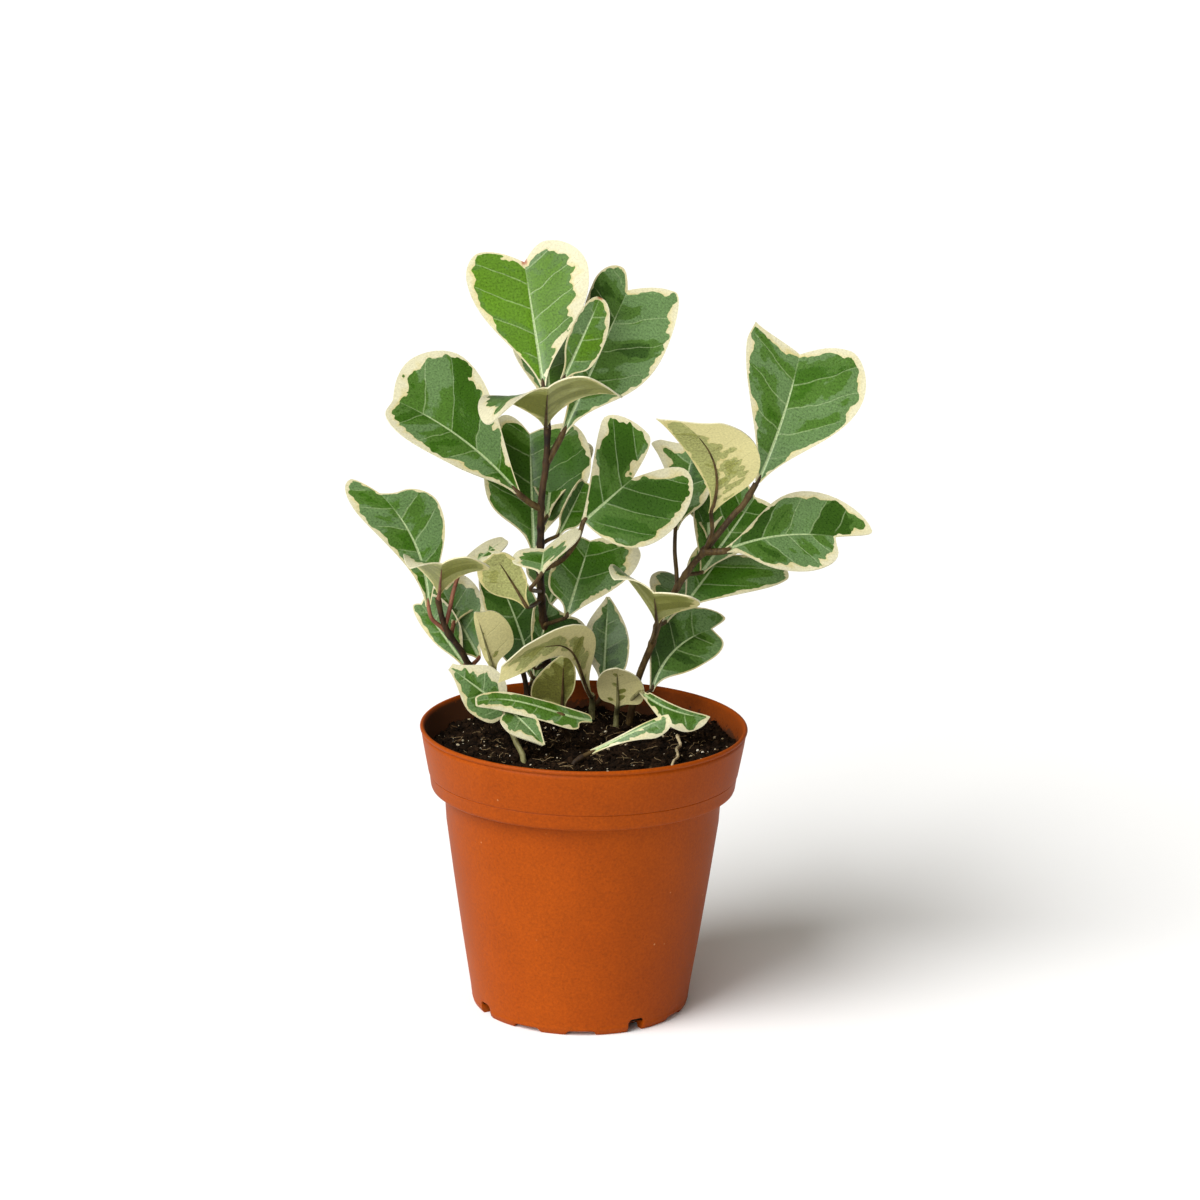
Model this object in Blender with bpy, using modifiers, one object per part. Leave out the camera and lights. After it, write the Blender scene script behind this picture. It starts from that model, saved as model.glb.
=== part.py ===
# Potted triangle fig: a variegated fig with spoon and wedge shaped leaves in a round plastic pot.
# Metres, +Z up. The origin is on the pot's axis at the height of the table, and the front is -Y.

import math
from collections import namedtuple

import bmesh
import bpy
import numpy as np
from mathutils import Matrix, Vector

MM = 0.001
GAP = 0.3

# Pot, in millimetres
RIM_RADIUS = 51.0
RIM_HEIGHT = 90.3
BAND_BOTTOM = 66.5
WALL = 1.2
FLOOR_UNDERSIDE = 1.0
FLOOR_TOP = 2.6
FOOT_INNER_RADIUS = 30.6
FOOT_OUTER_RADIUS = 33.4
POT_STEPS = 42
FOOT_GAPS = 12
FOOT_GAP_WIDTH = 9.4
FOOT_GAP_HEIGHT = 0.8
FOOT_GAP_INNER_RADIUS = 27.5
DRAIN_EVERY = 3
DRAIN_WIDTH = 5.4
DRAIN_HEIGHT = 4.3
DRAIN_CORNER = 1.4
DRAIN_INNER_RADIUS = 29.6
CUTTER_OUTER_RADIUS = 39.0
CUTTER_BELOW = 2.0
GAP_TURN = 1.0

# Soil, in millimetres
SOIL_LEVEL = 84.6
SOIL_FALL_BACK = 0.05
SOIL_BUMP = 0.7
SOIL_RINGS = 5
SOIL_STEPS = 30
SOIL_EDGE = 79.0
SOIL_CLEAR = 0.2

# Leaves and stems, in millimetres
BLADE_THICKNESS = 0.75
BLADE_ROOT = 0.8
BLADE_ROWS = (3, 2, 2)
BLADE_COLUMNS = 2
STALK_RADIUS = 0.75
STALK_SUNK = 0.1
STALK_SIDES = 6
STEM_SIDES = 8
HOLE_SIDES = 10
HOLE_BELOW_ROOT = 0.5
HOLE_ABOVE_NECK = 4.0

Side = namedtuple("Side", "width rise shoulder crown point fullness", defaults=(0.0, 1.0))


# Small helpers
def unit(vector):
    return vector / np.linalg.norm(vector)


def heading(turn, rise):
    turn, rise = math.radians(turn), math.radians(rise)
    return np.array([math.cos(turn) * math.cos(rise), math.sin(turn) * math.cos(rise), math.sin(rise)])


def mix(start, end, share):
    return start + (end - start) * share


def bezier(start, pull, push, end, steps):
    t = np.linspace(0, 1, steps + 1)[:, None]
    s = 1 - t
    return s**3 * start + 3 * s * s * t * pull + 3 * s * t * t * push + t**3 * end


def smooth_route(points, steps=4):
    """A smooth line through the points, with some steps between each two."""
    points = np.array(points, float)
    ends = [2 * points[0] - points[1], *points, 2 * points[-1] - points[-2]]
    line = []
    for before, start, end, after in zip(ends, ends[1:], ends[2:], ends[3:]):
        for t in np.linspace(0, 1, steps, endpoint=False):
            line.append(0.5 * (2 * start + (end - before) * t
                               + (2 * before - 5 * start + 4 * end - after) * t * t
                               + (3 * start - before - 3 * end + after) * t**3))
    line.append(points[-1])
    return np.array(line)


def leaf(base, tip, face, left, right, stalk, **bend):
    """One leaf: where its blade starts and where the notch of its far edge is, the direction of
    its upper face as a turn about Z and a rise, its two halves, and the route of its stalk."""
    shape = dict(fold=6, curl=10, cup=(0, 0), droop=(0, 0), sway=0, join=0, stalk_radius=STALK_RADIUS)
    shape.update(bend)
    return dict(base=np.array(base, float), tip=np.array(tip, float), face=face,
                halves=(Side(*left), Side(*right)), stalk=stalk, **shape)


# Leafy stems. A route starts at the root in the soil. A half is its width, how far its lobe rises
# past the notch, the shares where it is widest and where its lobe peaks, how pointed the lobe is,
# and how full its edge is near the stalk.
STEMS = {
    "stem_centre": dict(
        radius=(1.4, 0.9),
        route=[(-10.9, 22.6, 64), (-11, 22, 88), (-12, 19.5, 104), (-13, 15.5, 117), (-13.9, 11, 128.5),
               (-14.3, 8, 140), (-14.2, 6, 149), (-14.2, 5, 157.5), (-13.8, 5, 164), (-12.8, 6, 171.5),
               (-12.6, 8, 183.5), (-13.6, 8, 194)],
        leaves=[
            # The young leaf at the top, and the narrow one beside it
            leaf((-14, 8, 195.5), (-20.5, 24, 231), (-95, 20), (18.5, 5, 0.92, 0.70, 0, 0.9),
                 (19.2, 5.5, 0.88, 0.40), [(-13.5, 8, 190)], curl=-10),
            leaf((-8, 6, 198), (3, 12, 222.5), (-80, 0), (4.6, 0, 0.6, 0.1), (7, 0, 0.5, 0.1, 0, 1.2),
                 [(-13.3, 8, 189), (-10.8, 6.6, 194)]),
            # The dark leaf behind it, and the saddle that hangs out to the front
            leaf((-8, 10, 180), (11.5, 34, 221), (-85, 15), (11, 6, 0.95, 0.42),
                 (18.5, 5.5, 0.72, 0.75), [(-12.8, 6, 171.5), (-10.2, 8, 176)], fold=8),
            leaf((-13, 2, 184.5), (-12, -34, 203.5), (90, 60), (24, 4, 0.8, 0.5, 0.5),
                 (21, 3, 0.75, 0.55), [(-12.6, 8, 182.5)], fold=(30, 20), cup=(-62, -25), droop=(0, 9)),
            # The wide leaf on the left, and the one behind the stem
            leaf((-21, 0, 163.5), (-60, 8, 190.5), (-75, 50), (12.5, -0.5, 0.72, 0.35, 0, 1.2),
                 (25, 4, 0.82, 0.55, 0, 0.5), [(-14.2, 5, 157.5), (-17.5, 2.5, 160)], curl=15, sway=2.5),
            leaf((-16.5, 14, 141.5), (-18.5, 34, 175), (-90, 25), (15, 6, 0.6, 0.5),
                 (19, 3, 0.75, 0.6), [(-14.3, 8, 140), (-15.8, 11, 140.5)], fold=10, curl=15),
            # The slim leaf, the glossy heart and the broad leaf on the right
            leaf((-9, 10, 148), (-1, 22, 162.5), (-60, 20), (3.5, 0, 0.5, 0.4), (5, 0, 0.5, 0.4),
                 [(-14.2, 6, 146), (-12, 8, 147)], fold=20),
            leaf((-1, -4, 156), (14, 2, 168.5), (-85, 20), (20.5, 12.5, 1.2, 0.6, 0, 0.2),
                 (20, 14, 0.85, 0.47, 0, 1.8), [(-14.2, 8.5, 137), (-7.5, 3, 142), (-3, -2.5, 149.5)],
                 fold=5, curl=5, stalk_radius=0.9),
            leaf((-6, 2, 124), (1, 12, 146), (-80, 25), (9.2, 0.3, 0.48, 0.4),
                 (16.5, 4, 0.97, 0.6, 0, 1.1), [(-13.2, 14.8, 118), (-9.5, 8, 121)], curl=15),
            # The small pale leaf in front of the stem, with a bud on its own short stalk
            leaf((-13.5, -16, 142.5), (-13, 0, 146), (-90, 75), (9.5, 1, 0.6, 0.5), (14, 3, 0.7, 0.6),
                 [(-14, 10.4, 130), (-17, -5, 134.5), (-15.5, -13, 138.5)], fold=(-5, 35)),
            # The leaves low on the stem
            leaf((-18, -3, 128.5), (-28.5, -8, 146.5), (90, 10), (5, -1, 0.6, 0.4), (8.5, -1, 0.65, 0.5),
                 [(-13.8, 11.8, 127), (-16.5, 4, 127)], fold=0, curl=20),
            leaf((-16.5, 14, 101.5), (-28, 16, 133.5), (-90, 25), (6.5, 2, 0.7, 0.5), (8.5, 2, 0.6, 0.5),
                 [(-11.8, 20, 100), (-14.5, 16, 100)], fold=8, sway=1),
            leaf((-16, 12, 105), (-11.5, 17, 125), (-60, 25), (5, 2.5, 0.85, 0.5), (15, -3, 0.6, 0.6),
                 [(-12, 19.2, 104.5), (-14.6, 15, 104)], fold=4),
            # The leaves on the far side
            leaf((-12.5, 14, 153), (-10, 48, 168), (-90, 60), (12, 4, 0.85, 0.5), (12, 4, 0.85, 0.5),
                 [(-14.2, 5.6, 151.5)], curl=30),
            leaf((-12, 21, 122), (-6, 49, 128), (-100, 60), (12, 3, 0.8, 0.5), (10, 3, 0.85, 0.5),
                 [(-13.2, 14.5, 119.5)], curl=30),
            leaf((-12, 15, 186), (-14, 44, 204), (-85, 55), (11, 3, 0.85, 0.5), (12, 4, 0.8, 0.5),
                 [(-12.7, 7.4, 181)], curl=25),
        ]),
    "stem_left": dict(
        radius=(1.25, 0.8),
        route=[(-15, 15.5, 71), (-27.6, 8.2, 93.5), (-31.7, 5.8, 100.6), (-36.3, 3, 108.5), (-38.6, 2, 113),
               (-42.8, 1, 119.3), (-44.6, 0, 125), (-45.5, -2, 130.5)],
        leaves=[
            # The leaf that ends in a long point, on its red stalk, and the saddle at the stem's end
            leaf((-48.5, 0, 127.5), (-64, 6, 161.5), (-75, 20), (10.3, 7.5, 0.86, 0.3, 0, 0.6),
                 (12.8, -2, 0.74, 0.45, 0, 0.6), [(-42.4, 1, 118.6), (-45, 0.5, 121), (-47.5, 0, 123.5)],
                 fold=4, sway=3.7),
            leaf((-45, -4, 132.5), (-43, -32, 149), (90, 60), (15, 3, 0.8, 0.5, 0.2),
                 (14, 3, 0.75, 0.6, 0.3), [(-45.4, -1.5, 129.5)], fold=(28, 18), cup=(-45, -10),
                 droop=(0, 7)),
            # The pale edge that shows behind it, and the leaves along the stem
            leaf((-39.5, 8, 135.5), (-25.5, 20, 144), (-90, 60), (3.5, 0, 0.55, 0.3, 0, 1.2),
                 (3.5, 0, 0.55, 0.3, 0, 1.2), [(-43.3, 0.8, 121), (-42, 2, 126), (-41, 4.5, 131)]),
            leaf((-33, 8, 109), (-45, 18, 128), (-85, 20), (5, 2, 0.7, 0.5), (10, 2, 0.8, 0.6),
                 [(-35.6, 3.4, 107.3)]),
            leaf((-37, 6, 106.5), (-51.5, 12, 125), (-100, 30), (4, 1, 0.7, 0.5), (7, 1, 0.7, 0.5),
                 [(-34.6, 4, 105.5)]),
            leaf((-28, -2, 107), (-33.5, -10, 128.5), (100, 10), (9, -1, 0.5, 0.3), (3, 0, 0.5, 0.2),
                 [(-30.5, 6.5, 98.5), (-28.8, 2, 102)], fold=4),
            leaf((-41, 8, 120), (-36, 30, 124), (-90, 65), (8, 2, 0.8, 0.5), (8, 2, 0.8, 0.5),
                 [(-41.5, 1.3, 117.4)], curl=30),
        ]),
    "stem_right": dict(
        radius=(1.4, 0.9),
        route=[(10.9, 30.3, 64), (14.9, 23.3, 88), (16.8, 20, 99.5), (21.2, 16, 113), (23.2, 14, 121),
               (28, 10, 131.5), (33, 8, 140), (36.3, 7, 144.3), (44.7, 8, 155.3), (48.2, 9, 159),
               (52, 10, 165.5)],
        leaves=[
            # The big leaf at the end, and the one that curls over to show its pale underside
            leaf((52.5, 10, 166), (65, 24, 203.5), (-80, 20), (17.5, 4.6, 0.95, 0.92, 0.8, 0.6),
                 (22.5, 6, 0.82, 0.68, 0, 0.7), [(50, 9.5, 162)], sway=1),
            leaf((38, -2, 159), (25, -22, 192.5), (80, 15), (15, -2, 0.62, 0.6, 0, 1.3),
                 (9, 1, 0.8, 0.75, 0.8, 0.8), [(36.3, 7, 144.3), (38.5, 3, 151)], fold=0, curl=20,
                 sway=-5.5),
            # The two leaves behind the stem
            leaf((27.5, 14, 149.5), (33, 26, 173.5), (-90, 25), (13, -0.5, 0.9, 0.8, 0.3, -0.4),
                 (8, 1, 0.6, 0.5), [(28.3, 9.9, 132), (28, 11, 137), (27.4, 12.5, 143)], fold=4),
            leaf((36, 14, 136), (52.5, 26, 157.5), (-80, 25), (17, 3, 0.85, 0.6, 0, 1.2),
                 (9, 1, 0.8, 0.6), [(31, 8.8, 136.5)], fold=4),
            # The two leaves that reach out to the right
            leaf((42.5, 4, 145.5), (77, 10, 149), (-80, 50), (15.8, 12.5, 0.87, 0.15, 0.45),
                 (15, -0.5, 0.66, 0.35, 0, 1.1), [(36.3, 7, 144.3), (39.5, 5.3, 144.8)], sway=-2.4,
                 stalk_radius=0.95),
            leaf((30.5, 12, 125.5), (42.5, 22, 139.5), (-80, 35), (8, 2, 0.8, 0.5),
                 (21, 9, 1.25, 0.75, 0.2, 0.5), [(25.2, 12.3, 125.5)]),
            # The saddle in front of the stem, and the crinkled leaf near the soil
            leaf((22, -2, 124), (20.5, -32, 141), (90, 60), (14, 1, 0.8, 0.7), (15.5, 3, 0.8, 0.65, 0.3),
                 [(20.8, 16.3, 112), (21.8, 8, 117.5)], fold=(0, 38), cup=(-15, 0), droop=(0, 4)),
            leaf((21, 16, 97), (40, 28, 114), (-75, 20), (10.5, 5.8, 0.78, 0.35, 0, 1.2),
                 (9.5, 0, 0.72, 0.4), [(15.9, 21.6, 93.5), (18.5, 18.5, 94.5)], sway=-3.8),
            # The leaves on the far side
            leaf((38, 14, 147), (37, 42, 159), (-90, 60), (11, 3, 0.8, 0.5), (12, 3, 0.85, 0.5),
                 [(37, 7.2, 145.4)], curl=30),
            leaf((25, 21, 118), (31, 45, 125), (-80, 60), (10, 3, 0.8, 0.5), (9, 3, 0.85, 0.5),
                 [(22.4, 14.8, 118)], curl=25),
        ]),
    "shoot_middle": dict(
        radius=(1.1, 0.8),
        route=[(2.6, 25.5, 68), (2.4, 25, 88), (2.4, 22.5, 91.5), (2.3, 16, 95.2)],
        leaves=[
            leaf((2.3, 14, 96.2), (-24.5, -14, 111.5), (90, 20), (12.5, 2, 0.65, 0.4, 0, 1.6),
                 (5, 1, 0.6, 0.5), [(2.3, 17, 94.6)], fold=0, curl=30, sway=-8),
            leaf((5.8, 24, 94.5), (7, 32, 123), (-90, 10), (6, 0, 0.65, 0.2), (7.8, 0, 0.5, 0.1, 0, 1.2),
                 [(2.4, 24.8, 88.5), (4.6, 24.6, 91)], fold=10),
        ]),
    "shoot_upright": dict(
        radius=(0.9, 0.75),
        route=[(-7, 12.8, 70), (-7, 11.6, 88), (-7, 11.2, 90.5)],
        leaves=[
            leaf((-7, 11, 91.5), (-8, 6, 110.5), (90, 10), (4.2, 0, 0.7, 0.2), (9.5, 0, 0.35, 0.1, 0, 1.3),
                 [(-7, 11.5, 89.5)], fold=4),
        ]),
    "shoot_low": dict(
        radius=(0.9, 0.75),
        route=[(-4.4, -3.5, 70), (-4.8, -4, 87.5), (-6, -7, 91.5), (-6.4, -10, 94.5)],
        leaves=[
            leaf((2, -12, 96), (-33, -22, 103.5), (-75, 60), (4.5, 0, 0.55, 0.3, 0, 1.6),
                 (5, 0, 0.6, 0.3, 0, 1.5), [(-6.2, -9, 93.5)], curl=20, sway=-2, join=0.25),
        ]),
    "shoot_left": dict(
        radius=(1.0, 0.75),
        route=[(-15.5, -28, 72), (-18.5, -25.8, 88), (-20.8, -22.8, 91.5), (-23, -19, 96), (-25, -15.4, 100.3)],
        leaves=[
            leaf((-22, -9, 96.5), (-41, -8, 110), (-80, 30), (7.5, 0, 0.45, 0.1, 0, 1.2),
                 (8.2, 0, 0.55, 0.1), [(-21.8, -21, 93.4), (-22.2, -14, 94)]),
            leaf((-25, -15, 100.5), (-12, -26, 91), (-60, 40), (5, 0, 0.4, 0.1, 0.8),
                 (5.5, 0, 0.4, 0.1, 0.8), [], curl=20),
        ]),
    "shoot_right": dict(
        radius=(1.0, 0.75),
        route=[(9.6, 23, 70), (10.2, 22, 87.5), (10.4, 18, 90.5), (10.5, 13.5, 92.3)],
        leaves=[
            leaf((10.5, 12, 93), (10, 2, 108), (90, 20), (6.5, 0, 0.5, 0.3, 0, 1.4),
                 (6.5, 0, 0.5, 0.3, 0, 1.4), [(10.5, 14, 92)], fold=-10, curl=40),
            leaf((17.5, 6, 99), (39.5, -4, 95.5), (-75, 55), (3.2, 0, 0.55, 0.3, 0, 1.5),
                 (4.6, 0, 0.55, 0.3, 0, 1.5), [(10.4, 17, 91), (14, 12, 94.5)], curl=20, sway=2.4),
        ]),
    "shoot_front": dict(
        radius=(0.9, 0.75),
        route=[(-3.4, -32.4, 72), (-3.2, -32.2, 86), (-2.4, -31.6, 87.6), (0, -30.3, 89)],
        leaves=[
            leaf((2.5, -29, 90), (25.5, -25, 100.5), (-90, 45), (2.4, 0, 0.6, 0.3),
                 (4.4, 0, 0.6, 0.3, 0, 1.2), [(-0.5, -30.6, 88.8)], sway=1.2),
        ]),
    "shoot_back": dict(
        radius=(1.1, 0.8),
        route=[(-17.6, 31, 64), (-18, 31, 88), (-18.8, 31.2, 94), (-20, 31.5, 99)],
        leaves=[
            leaf((-20.2, 31.8, 100.5), (-24, 46, 114), (-100, 50), (8, 2, 0.8, 0.5), (9, 2, 0.8, 0.5),
                 [(-19.8, 31.4, 98)], curl=20),
            leaf((-17, 33.5, 94), (-9, 47.5, 103), (-110, 55), (7, 1, 0.7, 0.5), (7, 1, 0.75, 0.5),
                 [(-18.2, 31, 90.5)], curl=20),
        ]),
}


# Scene, collections and materials
for old in list(bpy.data.objects):
    bpy.data.objects.remove(old, do_unlink=True)

parts = bpy.data.collections.new("potted_triangle_fig")
cutters = bpy.data.collections.new("cutters")
for group in (parts, cutters):
    bpy.context.scene.collection.children.link(group)
plant = bpy.data.objects.new("plant_on_table", None)
parts.objects.link(plant)


def make_material(name, colour, roughness):
    material = bpy.data.materials.new(name)
    material.use_nodes = True
    shader = material.node_tree.nodes["Principled BSDF"]
    shader.inputs["Base Color"].default_value = (*colour, 1)
    shader.inputs["Roughness"].default_value = roughness
    shader.inputs["Metallic"].default_value = 0
    return material


MATERIALS = {
    "pot": make_material("terracotta_plastic", (0.36, 0.09, 0.02), 0.45),
    "soil": make_material("potting_soil", (0.03, 0.02, 0.015), 0.95),
    "leafy": make_material("green_leaf", (0.10, 0.26, 0.06), 0.4),
}


def add_object(name, mesh, collection, material=None):
    item = bpy.data.objects.new(name, mesh)
    collection.objects.link(item)
    if material:
        mesh.materials.append(MATERIALS[material])
    return item


def hide_cutter(item):
    item.hide_render = True
    item.display_type = "WIRE"


def apply_modifiers(item):
    """Swap an object's mesh for the one that its modifiers make, and drop the modifiers."""
    graph = bpy.context.evaluated_depsgraph_get()
    mesh = bpy.data.meshes.new_from_object(item.evaluated_get(graph))
    item.modifiers.clear()
    item.data = mesh


def join_all(item, others):
    """Fuse the objects of a collection into one object, then remove them."""
    union = item.modifiers.new("join", "BOOLEAN")
    union.operation = "UNION"
    union.operand_type = "COLLECTION"
    union.collection = others
    union.use_self = True
    apply_modifiers(item)
    for other in list(others.objects):
        bpy.data.objects.remove(other, do_unlink=True)
    bpy.data.collections.remove(others)


def tube(name, points, radii, sides, collection):
    """A closed round tube along a route in millimetres, thinning from one radius to the other."""
    curve = bpy.data.curves.new(name, "CURVE")
    curve.dimensions = "3D"
    curve.bevel_depth = MM
    curve.bevel_resolution = (sides - 4) // 2
    curve.use_fill_caps = True
    spline = curve.splines.new("POLY")
    spline.points.add(len(points) - 1)
    for point, place, radius in zip(spline.points, points, np.linspace(*radii, len(points))):
        point.co = (*(place * MM), 1)
        point.radius = radius
    item = bpy.data.objects.new(name + "_curve", curve)
    collection.objects.link(item)
    mesh = bpy.data.meshes.new_from_object(item.evaluated_get(bpy.context.evaluated_depsgraph_get()))
    bpy.data.objects.remove(item, do_unlink=True)
    shape = bmesh.new()
    shape.from_mesh(mesh)
    bmesh.ops.remove_doubles(shape, verts=shape.verts, dist=0.01 * MM)
    bmesh.ops.recalc_face_normals(shape, faces=shape.faces)
    shape.to_mesh(mesh)
    shape.free()
    return add_object(name, mesh, collection)


# Pot
def outer_profile():
    """The pot's outer side from the rim down, as radius and height."""
    return [
        (RIM_RADIUS - 0.5, RIM_HEIGHT), (RIM_RADIUS, RIM_HEIGHT - 0.4), (RIM_RADIUS, RIM_HEIGHT - 1.1),
        (50.5, 88.6), (50.1, 85.5), (49.2, 80.5), (48.2, 75.2), (47.8, 74.9), (47.0, BAND_BOTTOM + 3),
        (46.2, BAND_BOTTOM + 1), (44.8, BAND_BOTTOM - 0.8), (43.6, BAND_BOTTOM - 2.6),
        (42.9, 60.0), (40.4, 42.5), (37.5, 22.6), (34.9, 4.6), (34.4, 2.0), (FOOT_OUTER_RADIUS, 0.0),
    ]


def inner_profile():
    """The pot's inner side from the floor up."""
    return [
        (33.2, FLOOR_TOP), (33.8, 4.6), (41.5, 62.5), (43.2, BAND_BOTTOM - 1.5), (45.6, BAND_BOTTOM + 2.5),
        (49.0, 88.6), (RIM_RADIUS - 0.5 - WALL, RIM_HEIGHT),
    ]


def make_pot():
    foot = [(FOOT_INNER_RADIUS, 0.0), (FOOT_INNER_RADIUS - 0.4, FLOOR_UNDERSIDE), (0.0, FLOOR_UNDERSIDE)]
    profile = [(0.0, FLOOR_TOP), *inner_profile(), *outer_profile(), *foot]
    mesh = bpy.data.meshes.new("pot")
    rows = [(radius * MM, 0, height * MM) for radius, height in profile]
    mesh.from_pydata(rows, [(i, i + 1) for i in range(len(rows) - 1)], [])
    pot = add_object("pot", mesh, parts, "pot")
    screw = pot.modifiers.new("turn", "SCREW")
    screw.steps = screw.render_steps = POT_STEPS
    screw.use_merge_vertices = True
    screw.merge_threshold = 0.00001
    for index in range(FOOT_GAPS):
        cutter = foot_cutter(index)
        cut = pot.modifiers.new("foot_gap", "BOOLEAN")
        cut.operation = "DIFFERENCE"
        cut.object = cutter
    return pot


def foot_cutter(index):
    """A box across the foot ring: a shallow gap, or a taller drain with rounded corners."""
    is_drain = index % DRAIN_EVERY == 1
    width = DRAIN_WIDTH if is_drain else FOOT_GAP_WIDTH
    top = DRAIN_HEIGHT if is_drain else FOOT_GAP_HEIGHT
    inner = DRAIN_INNER_RADIUS if is_drain else FOOT_GAP_INNER_RADIUS
    angle = math.radians(GAP_TURN + index * 360 / FOOT_GAPS)
    size = Vector((width, CUTTER_OUTER_RADIUS - inner, top + CUTTER_BELOW)) * MM
    shape = bmesh.new()
    bmesh.ops.create_cube(shape, size=1)
    bmesh.ops.scale(shape, vec=size, verts=shape.verts)
    if is_drain:
        corners = [edge for edge in shape.edges
                   if all(v.co.z > 0 for v in edge.verts) and edge.verts[0].co.x == edge.verts[1].co.x]
        bmesh.ops.bevel(shape, geom=corners, offset=DRAIN_CORNER * MM, segments=3, profile=0.5,
                        affect="EDGES")
    mesh = bpy.data.meshes.new("foot_gap")
    shape.to_mesh(mesh)
    shape.free()
    item = add_object(f"foot_gap_{index + 1}", mesh, cutters)
    middle = (CUTTER_OUTER_RADIUS + inner) / 2 * MM
    height = (top - CUTTER_BELOW) / 2 * MM
    item.location = (middle * math.sin(angle), -middle * math.cos(angle), height)
    item.rotation_euler = (0, 0, angle)
    hide_cutter(item)
    return item


# Soil
def inner_radius(height):
    """The radius of the pot's inside at a height."""
    radii, heights = zip(*inner_profile())
    return float(np.interp(height, heights, radii))


def soil_height(x, y):
    """The uneven top of the soil, lowest at the back, in millimetres."""
    fall = SOIL_FALL_BACK * y + 0.0006 * max(y, 0) ** 2 - 0.02 * min(x, 0) * (y > 0)
    bumps = math.sin(x * 0.31 + 1.2) * math.cos(y * 0.27) + 0.6 * math.sin(x * 0.13 - y * 0.21)
    return SOIL_LEVEL - fall + SOIL_BUMP * bumps


def make_soil():
    """One closed solid: rings of the uneven top, then rings down the pot's inside to its floor."""
    top_radius = inner_radius(SOIL_EDGE) - GAP - SOIL_CLEAR
    shape = bmesh.new()
    rings = []
    for ring in range(1, SOIL_RINGS + 1):
        radius = top_radius * ring / SOIL_RINGS
        rings.append(soil_ring(shape, radius, None))
    for height in (BAND_BOTTOM + 2.5, 62.5, FLOOR_TOP + GAP):
        rings.append(soil_ring(shape, inner_radius(height) - GAP - SOIL_CLEAR, height))
    centre_top = shape.verts.new((0, 0, soil_height(0, 0) * MM))
    centre_floor = shape.verts.new((0, 0, (FLOOR_TOP + GAP) * MM))
    for step in range(SOIL_STEPS):
        after = (step + 1) % SOIL_STEPS
        shape.faces.new((centre_top, rings[0][step], rings[0][after]))
        shape.faces.new((centre_floor, rings[-1][after], rings[-1][step]))
        for upper, lower in zip(rings, rings[1:]):
            shape.faces.new((upper[step], lower[step], lower[after]))
            shape.faces.new((upper[step], lower[after], upper[after]))
    bmesh.ops.recalc_face_normals(shape, faces=shape.faces)
    mesh = bpy.data.meshes.new("soil")
    shape.to_mesh(mesh)
    shape.free()
    return add_object("soil", mesh, parts, "soil")


def soil_ring(shape, radius, height):
    ring = []
    for step in range(SOIL_STEPS):
        angle = 2 * math.pi * step / SOIL_STEPS
        x, y = radius * math.cos(angle), radius * math.sin(angle)
        z = soil_height(x, y) if height is None else height
        ring.append(shape.verts.new((x * MM, y * MM, z * MM)))
    return ring


def cut_root_hole(soil, name, stem):
    """A plain round hole for the straight root of a stem, a little wider and deeper than it."""
    root, neck = (np.array(point, float) for point in stem["route"][:2])
    along = unit(neck - root)
    radius = (stem["radius"][0] + GAP + 0.1) / math.cos(math.pi / HOLE_SIDES)
    line = [root - along * HOLE_BELOW_ROOT, neck + along * HOLE_ABOVE_NECK]
    cutter = tube(name + "_hole", line, (radius, radius), HOLE_SIDES, cutters)
    hide_cutter(cutter)
    cut = soil.modifiers.new(name, "BOOLEAN")
    cut.operation = "DIFFERENCE"
    cut.object = cutter


# Leaves
def half_outline(side, length):
    """One half of a blade's edge, from the stalk round the lobe to the notch, as x and y."""
    width, rise, shoulder, crown, point, fullness = side
    root = np.array([BLADE_ROOT, 0.0])
    widest = np.array([width, shoulder * length])
    peak = np.array([crown * width, length + rise])
    notch = np.array([0.0, length])
    thin = (np.array([0.05 * width, 0.75 * shoulder * length]),
            np.array([0.35 * width, 0.85 * shoulder * length]))
    straight = (widest / 3, widest * 0.8)
    round_ = (np.array([0.12 * width + BLADE_ROOT, 0.30 * length]),
              np.array([width, (shoulder - 0.40) * length]))
    heart = (np.array([0.75 * width, -0.05 * length]), np.array([width, (shoulder - 0.6) * length]))
    if fullness < 0:
        pull, push = (mix(a, b, -fullness) for a, b in zip(straight, thin))
    elif fullness <= 1:
        pull, push = (mix(a, b, fullness) for a, b in zip(straight, round_))
    else:
        pull, push = (mix(a, b, fullness - 1) for a, b in zip(round_, heart))
    climb = peak[1] - widest[1]
    inward = width - peak[0]
    onward = unit(widest - push) * abs(climb) * (0.5 - 0.2 * point)
    before_peak = peak + [inward * (0.55 * (1 - point) + 0.12 * point), -climb * 0.3 * point]
    past_peak = peak + [-crown * width * (0.45 * (1 - point) + 0.1 * point), -rise * 0.45 * point]
    before_notch = notch + [crown * width * 0.22, rise * 0.35]
    first, second, third = BLADE_ROWS
    return np.vstack([
        bezier(root, pull, push, widest, first),
        bezier(widest, widest + onward, before_peak, peak, second)[1:],
        bezier(peak, past_peak, before_notch, notch, third)[1:],
    ])


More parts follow.
